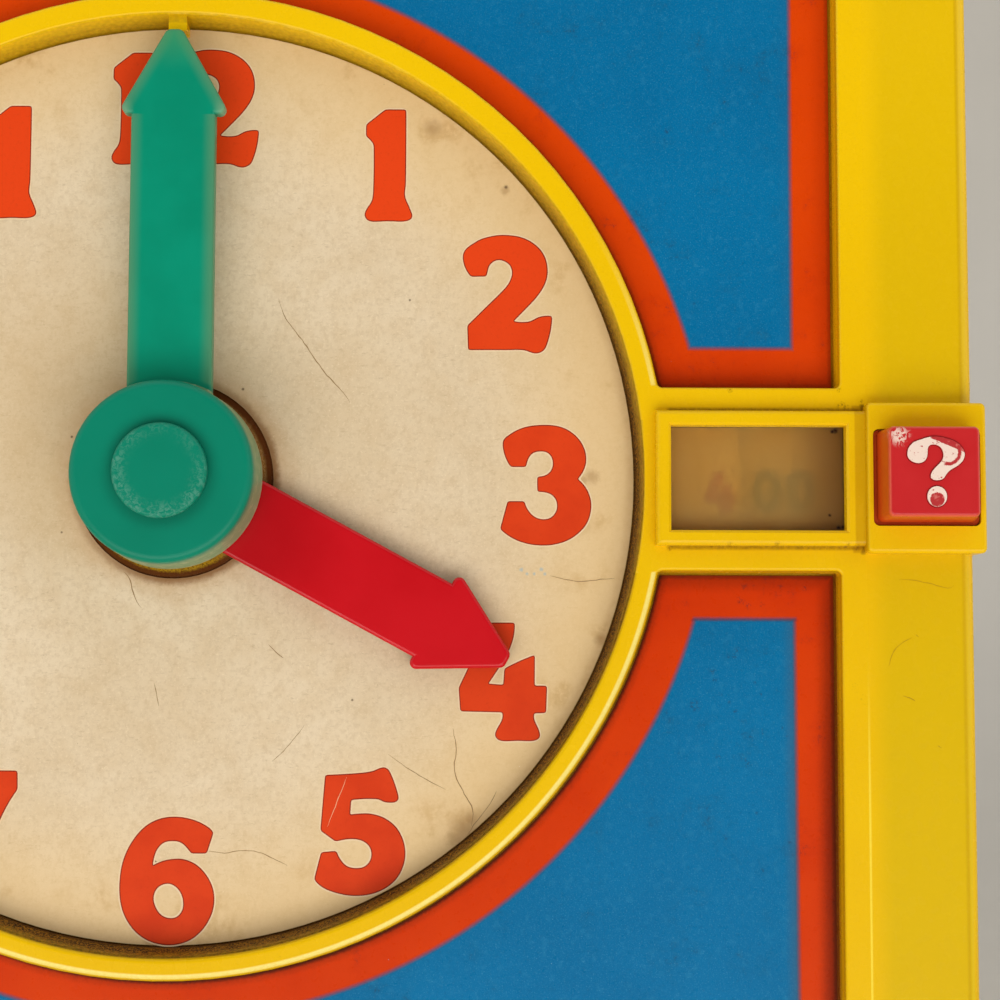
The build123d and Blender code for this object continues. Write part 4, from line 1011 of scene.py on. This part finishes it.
# Stage
def grid_surface(name, profile, half_width, material):
    """A sheet swept along X from a profile of (y, z) points."""
    sheet = bmesh.new()
    rows = [[sheet.verts.new((side * half_width, y, z)) for side in (-1, 1)] for y, z in profile]
    for low, high in zip(rows, rows[1:]):
        sheet.faces.new((low[0], low[1], high[1], high[0]))
    mesh = bpy.data.meshes.new(name)
    sheet.to_mesh(mesh)
    sheet.free()
    mesh.materials.append(material)
    piece = bpy.data.objects.new(name, mesh)
    bpy.context.collection.objects.link(piece)
    for polygon in mesh.polygons:
        polygon.use_smooth = True
    return piece


backdrop_finish = Finish("backdrop", Roughness=0.9)
backdrop_finish.drive(
    "Base Color",
    backdrop_finish.mix(backdrop_finish.noise(60, 3), rgb(196, 192, 184), rgb(204, 200, 192)),
)
SWEEP_START, SWEEP_RADIUS = 0.45, 0.35
SWEEP_FRONT, SWEEP_TOP, SWEEP_HALF_WIDTH = -12.0, 2.5, 3.0
SWEEP_STEPS = 12
sweep = [(SWEEP_FRONT, 0.0), (-1.0, 0.0), (0.0, 0.0), (SWEEP_START, 0.0)]
for n in range(1, SWEEP_STEPS + 1):
    turn = math.radians(90 / SWEEP_STEPS * n)
    sweep.append((SWEEP_START + SWEEP_RADIUS * math.sin(turn), SWEEP_RADIUS * (1 - math.cos(turn))))
sweep.append((SWEEP_START + SWEEP_RADIUS, SWEEP_TOP))
floor = grid_surface("floor", sweep, SWEEP_HALF_WIDTH, backdrop_finish.material)

# Light: two soft lamps in front, low at the left and at the right, and a sky
world = bpy.data.worlds.new("world")
bpy.context.scene.world = world
world.use_nodes = True
sky = world.node_tree.nodes["Background"]
sky.inputs[0].default_value = (1.0, 0.985, 0.96, 1)
# the sky is dim in front of the clock, where a viewer stands, and even elsewhere
SKY_DIM, SKY_RISE = 0.04, 0.97
SKY_DIM_END, SKY_FULL_START = -0.95, -0.5
ray = world.node_tree.nodes.new("ShaderNodeTexCoord")
parts = world.node_tree.nodes.new("ShaderNodeSeparateXYZ")
world.node_tree.links.new(ray.outputs["Generated"], parts.inputs[0])
ahead = Number(world.node_tree, parts.outputs[1])
world.node_tree.links.new((ahead.step(SKY_DIM_END, SKY_FULL_START) * SKY_RISE + SKY_DIM).socket, sky.inputs[1])


LAMP_COLOUR = (1.0, 0.98, 0.95)
LAMP_DISTANCE, LAMP_SIZE, LAMP_WATTS = 3.0, 2.0, 34.5


def lamp(name, direction):
    """A soft lamp that looks at the middle of the dial from a direction."""
    data = bpy.data.lights.new(name, "AREA")
    data.shape = "RECTANGLE"
    data.size = LAMP_SIZE
    data.size_y = LAMP_SIZE
    data.energy = LAMP_WATTS
    data.color = LAMP_COLOUR
    piece = bpy.data.objects.new(name, data)
    bpy.context.collection.objects.link(piece)
    away = Vector(direction).normalized()
    piece.location = dial_point(0, 0) + away * LAMP_DISTANCE
    piece.rotation_euler = away.to_track_quat("Z", "Y").to_euler()
    return piece


low_left = lamp("low_left", (-0.335, -0.743, -0.579))
low_right = lamp("low_right", (0.335, -0.743, -0.579))
# the floor doesn't shade the dial from the low lamps
blockers = bpy.data.collections.new("lamp_blockers")
blockers.objects.link(floor)
blockers.collection_objects[0].light_linking.link_state = "EXCLUDE"
for low_lamp in (low_left, low_right):
    low_lamp.light_linking.blocker_collection = blockers

# Camera: fitted to the dial's ring, the case's edges and the heights of the hub and the button
FOCAL_PIXELS = 2061.12
FRAME_PIXELS = 1000
SENSOR = 36.0
CAMERA_DIAL = (52.185, -31.867, 349.749)
TILT, PAN, ROLL = -0.0814, 0.0098, -0.0037
view_rows = Matrix.Rotation(ROLL, 3, "Z") @ Matrix.Rotation(PAN, 3, "Y") @ Matrix.Rotation(TILT, 3, "X")
dial_to_row = Matrix(((1, 0, 0), (0, 0, -1), (0, 1, 0)))
camera_data = bpy.data.cameras.new("camera")
camera_data.sensor_width = SENSOR
camera_data.lens = SENSOR * FOCAL_PIXELS / FRAME_PIXELS
camera_data.shift_x = -1 / FRAME_PIXELS
camera_data.clip_start = 0.01
camera = bpy.data.objects.new("camera", camera_data)
bpy.context.collection.objects.link(camera)
turned = dial_to_row @ view_rows.transposed()
camera.matrix_world = Matrix.Translation(dial_point(*CAMERA_DIAL)) @ turned.to_4x4()
bpy.context.scene.camera = camera
bpy.context.scene.view_settings.view_transform = "Standard"
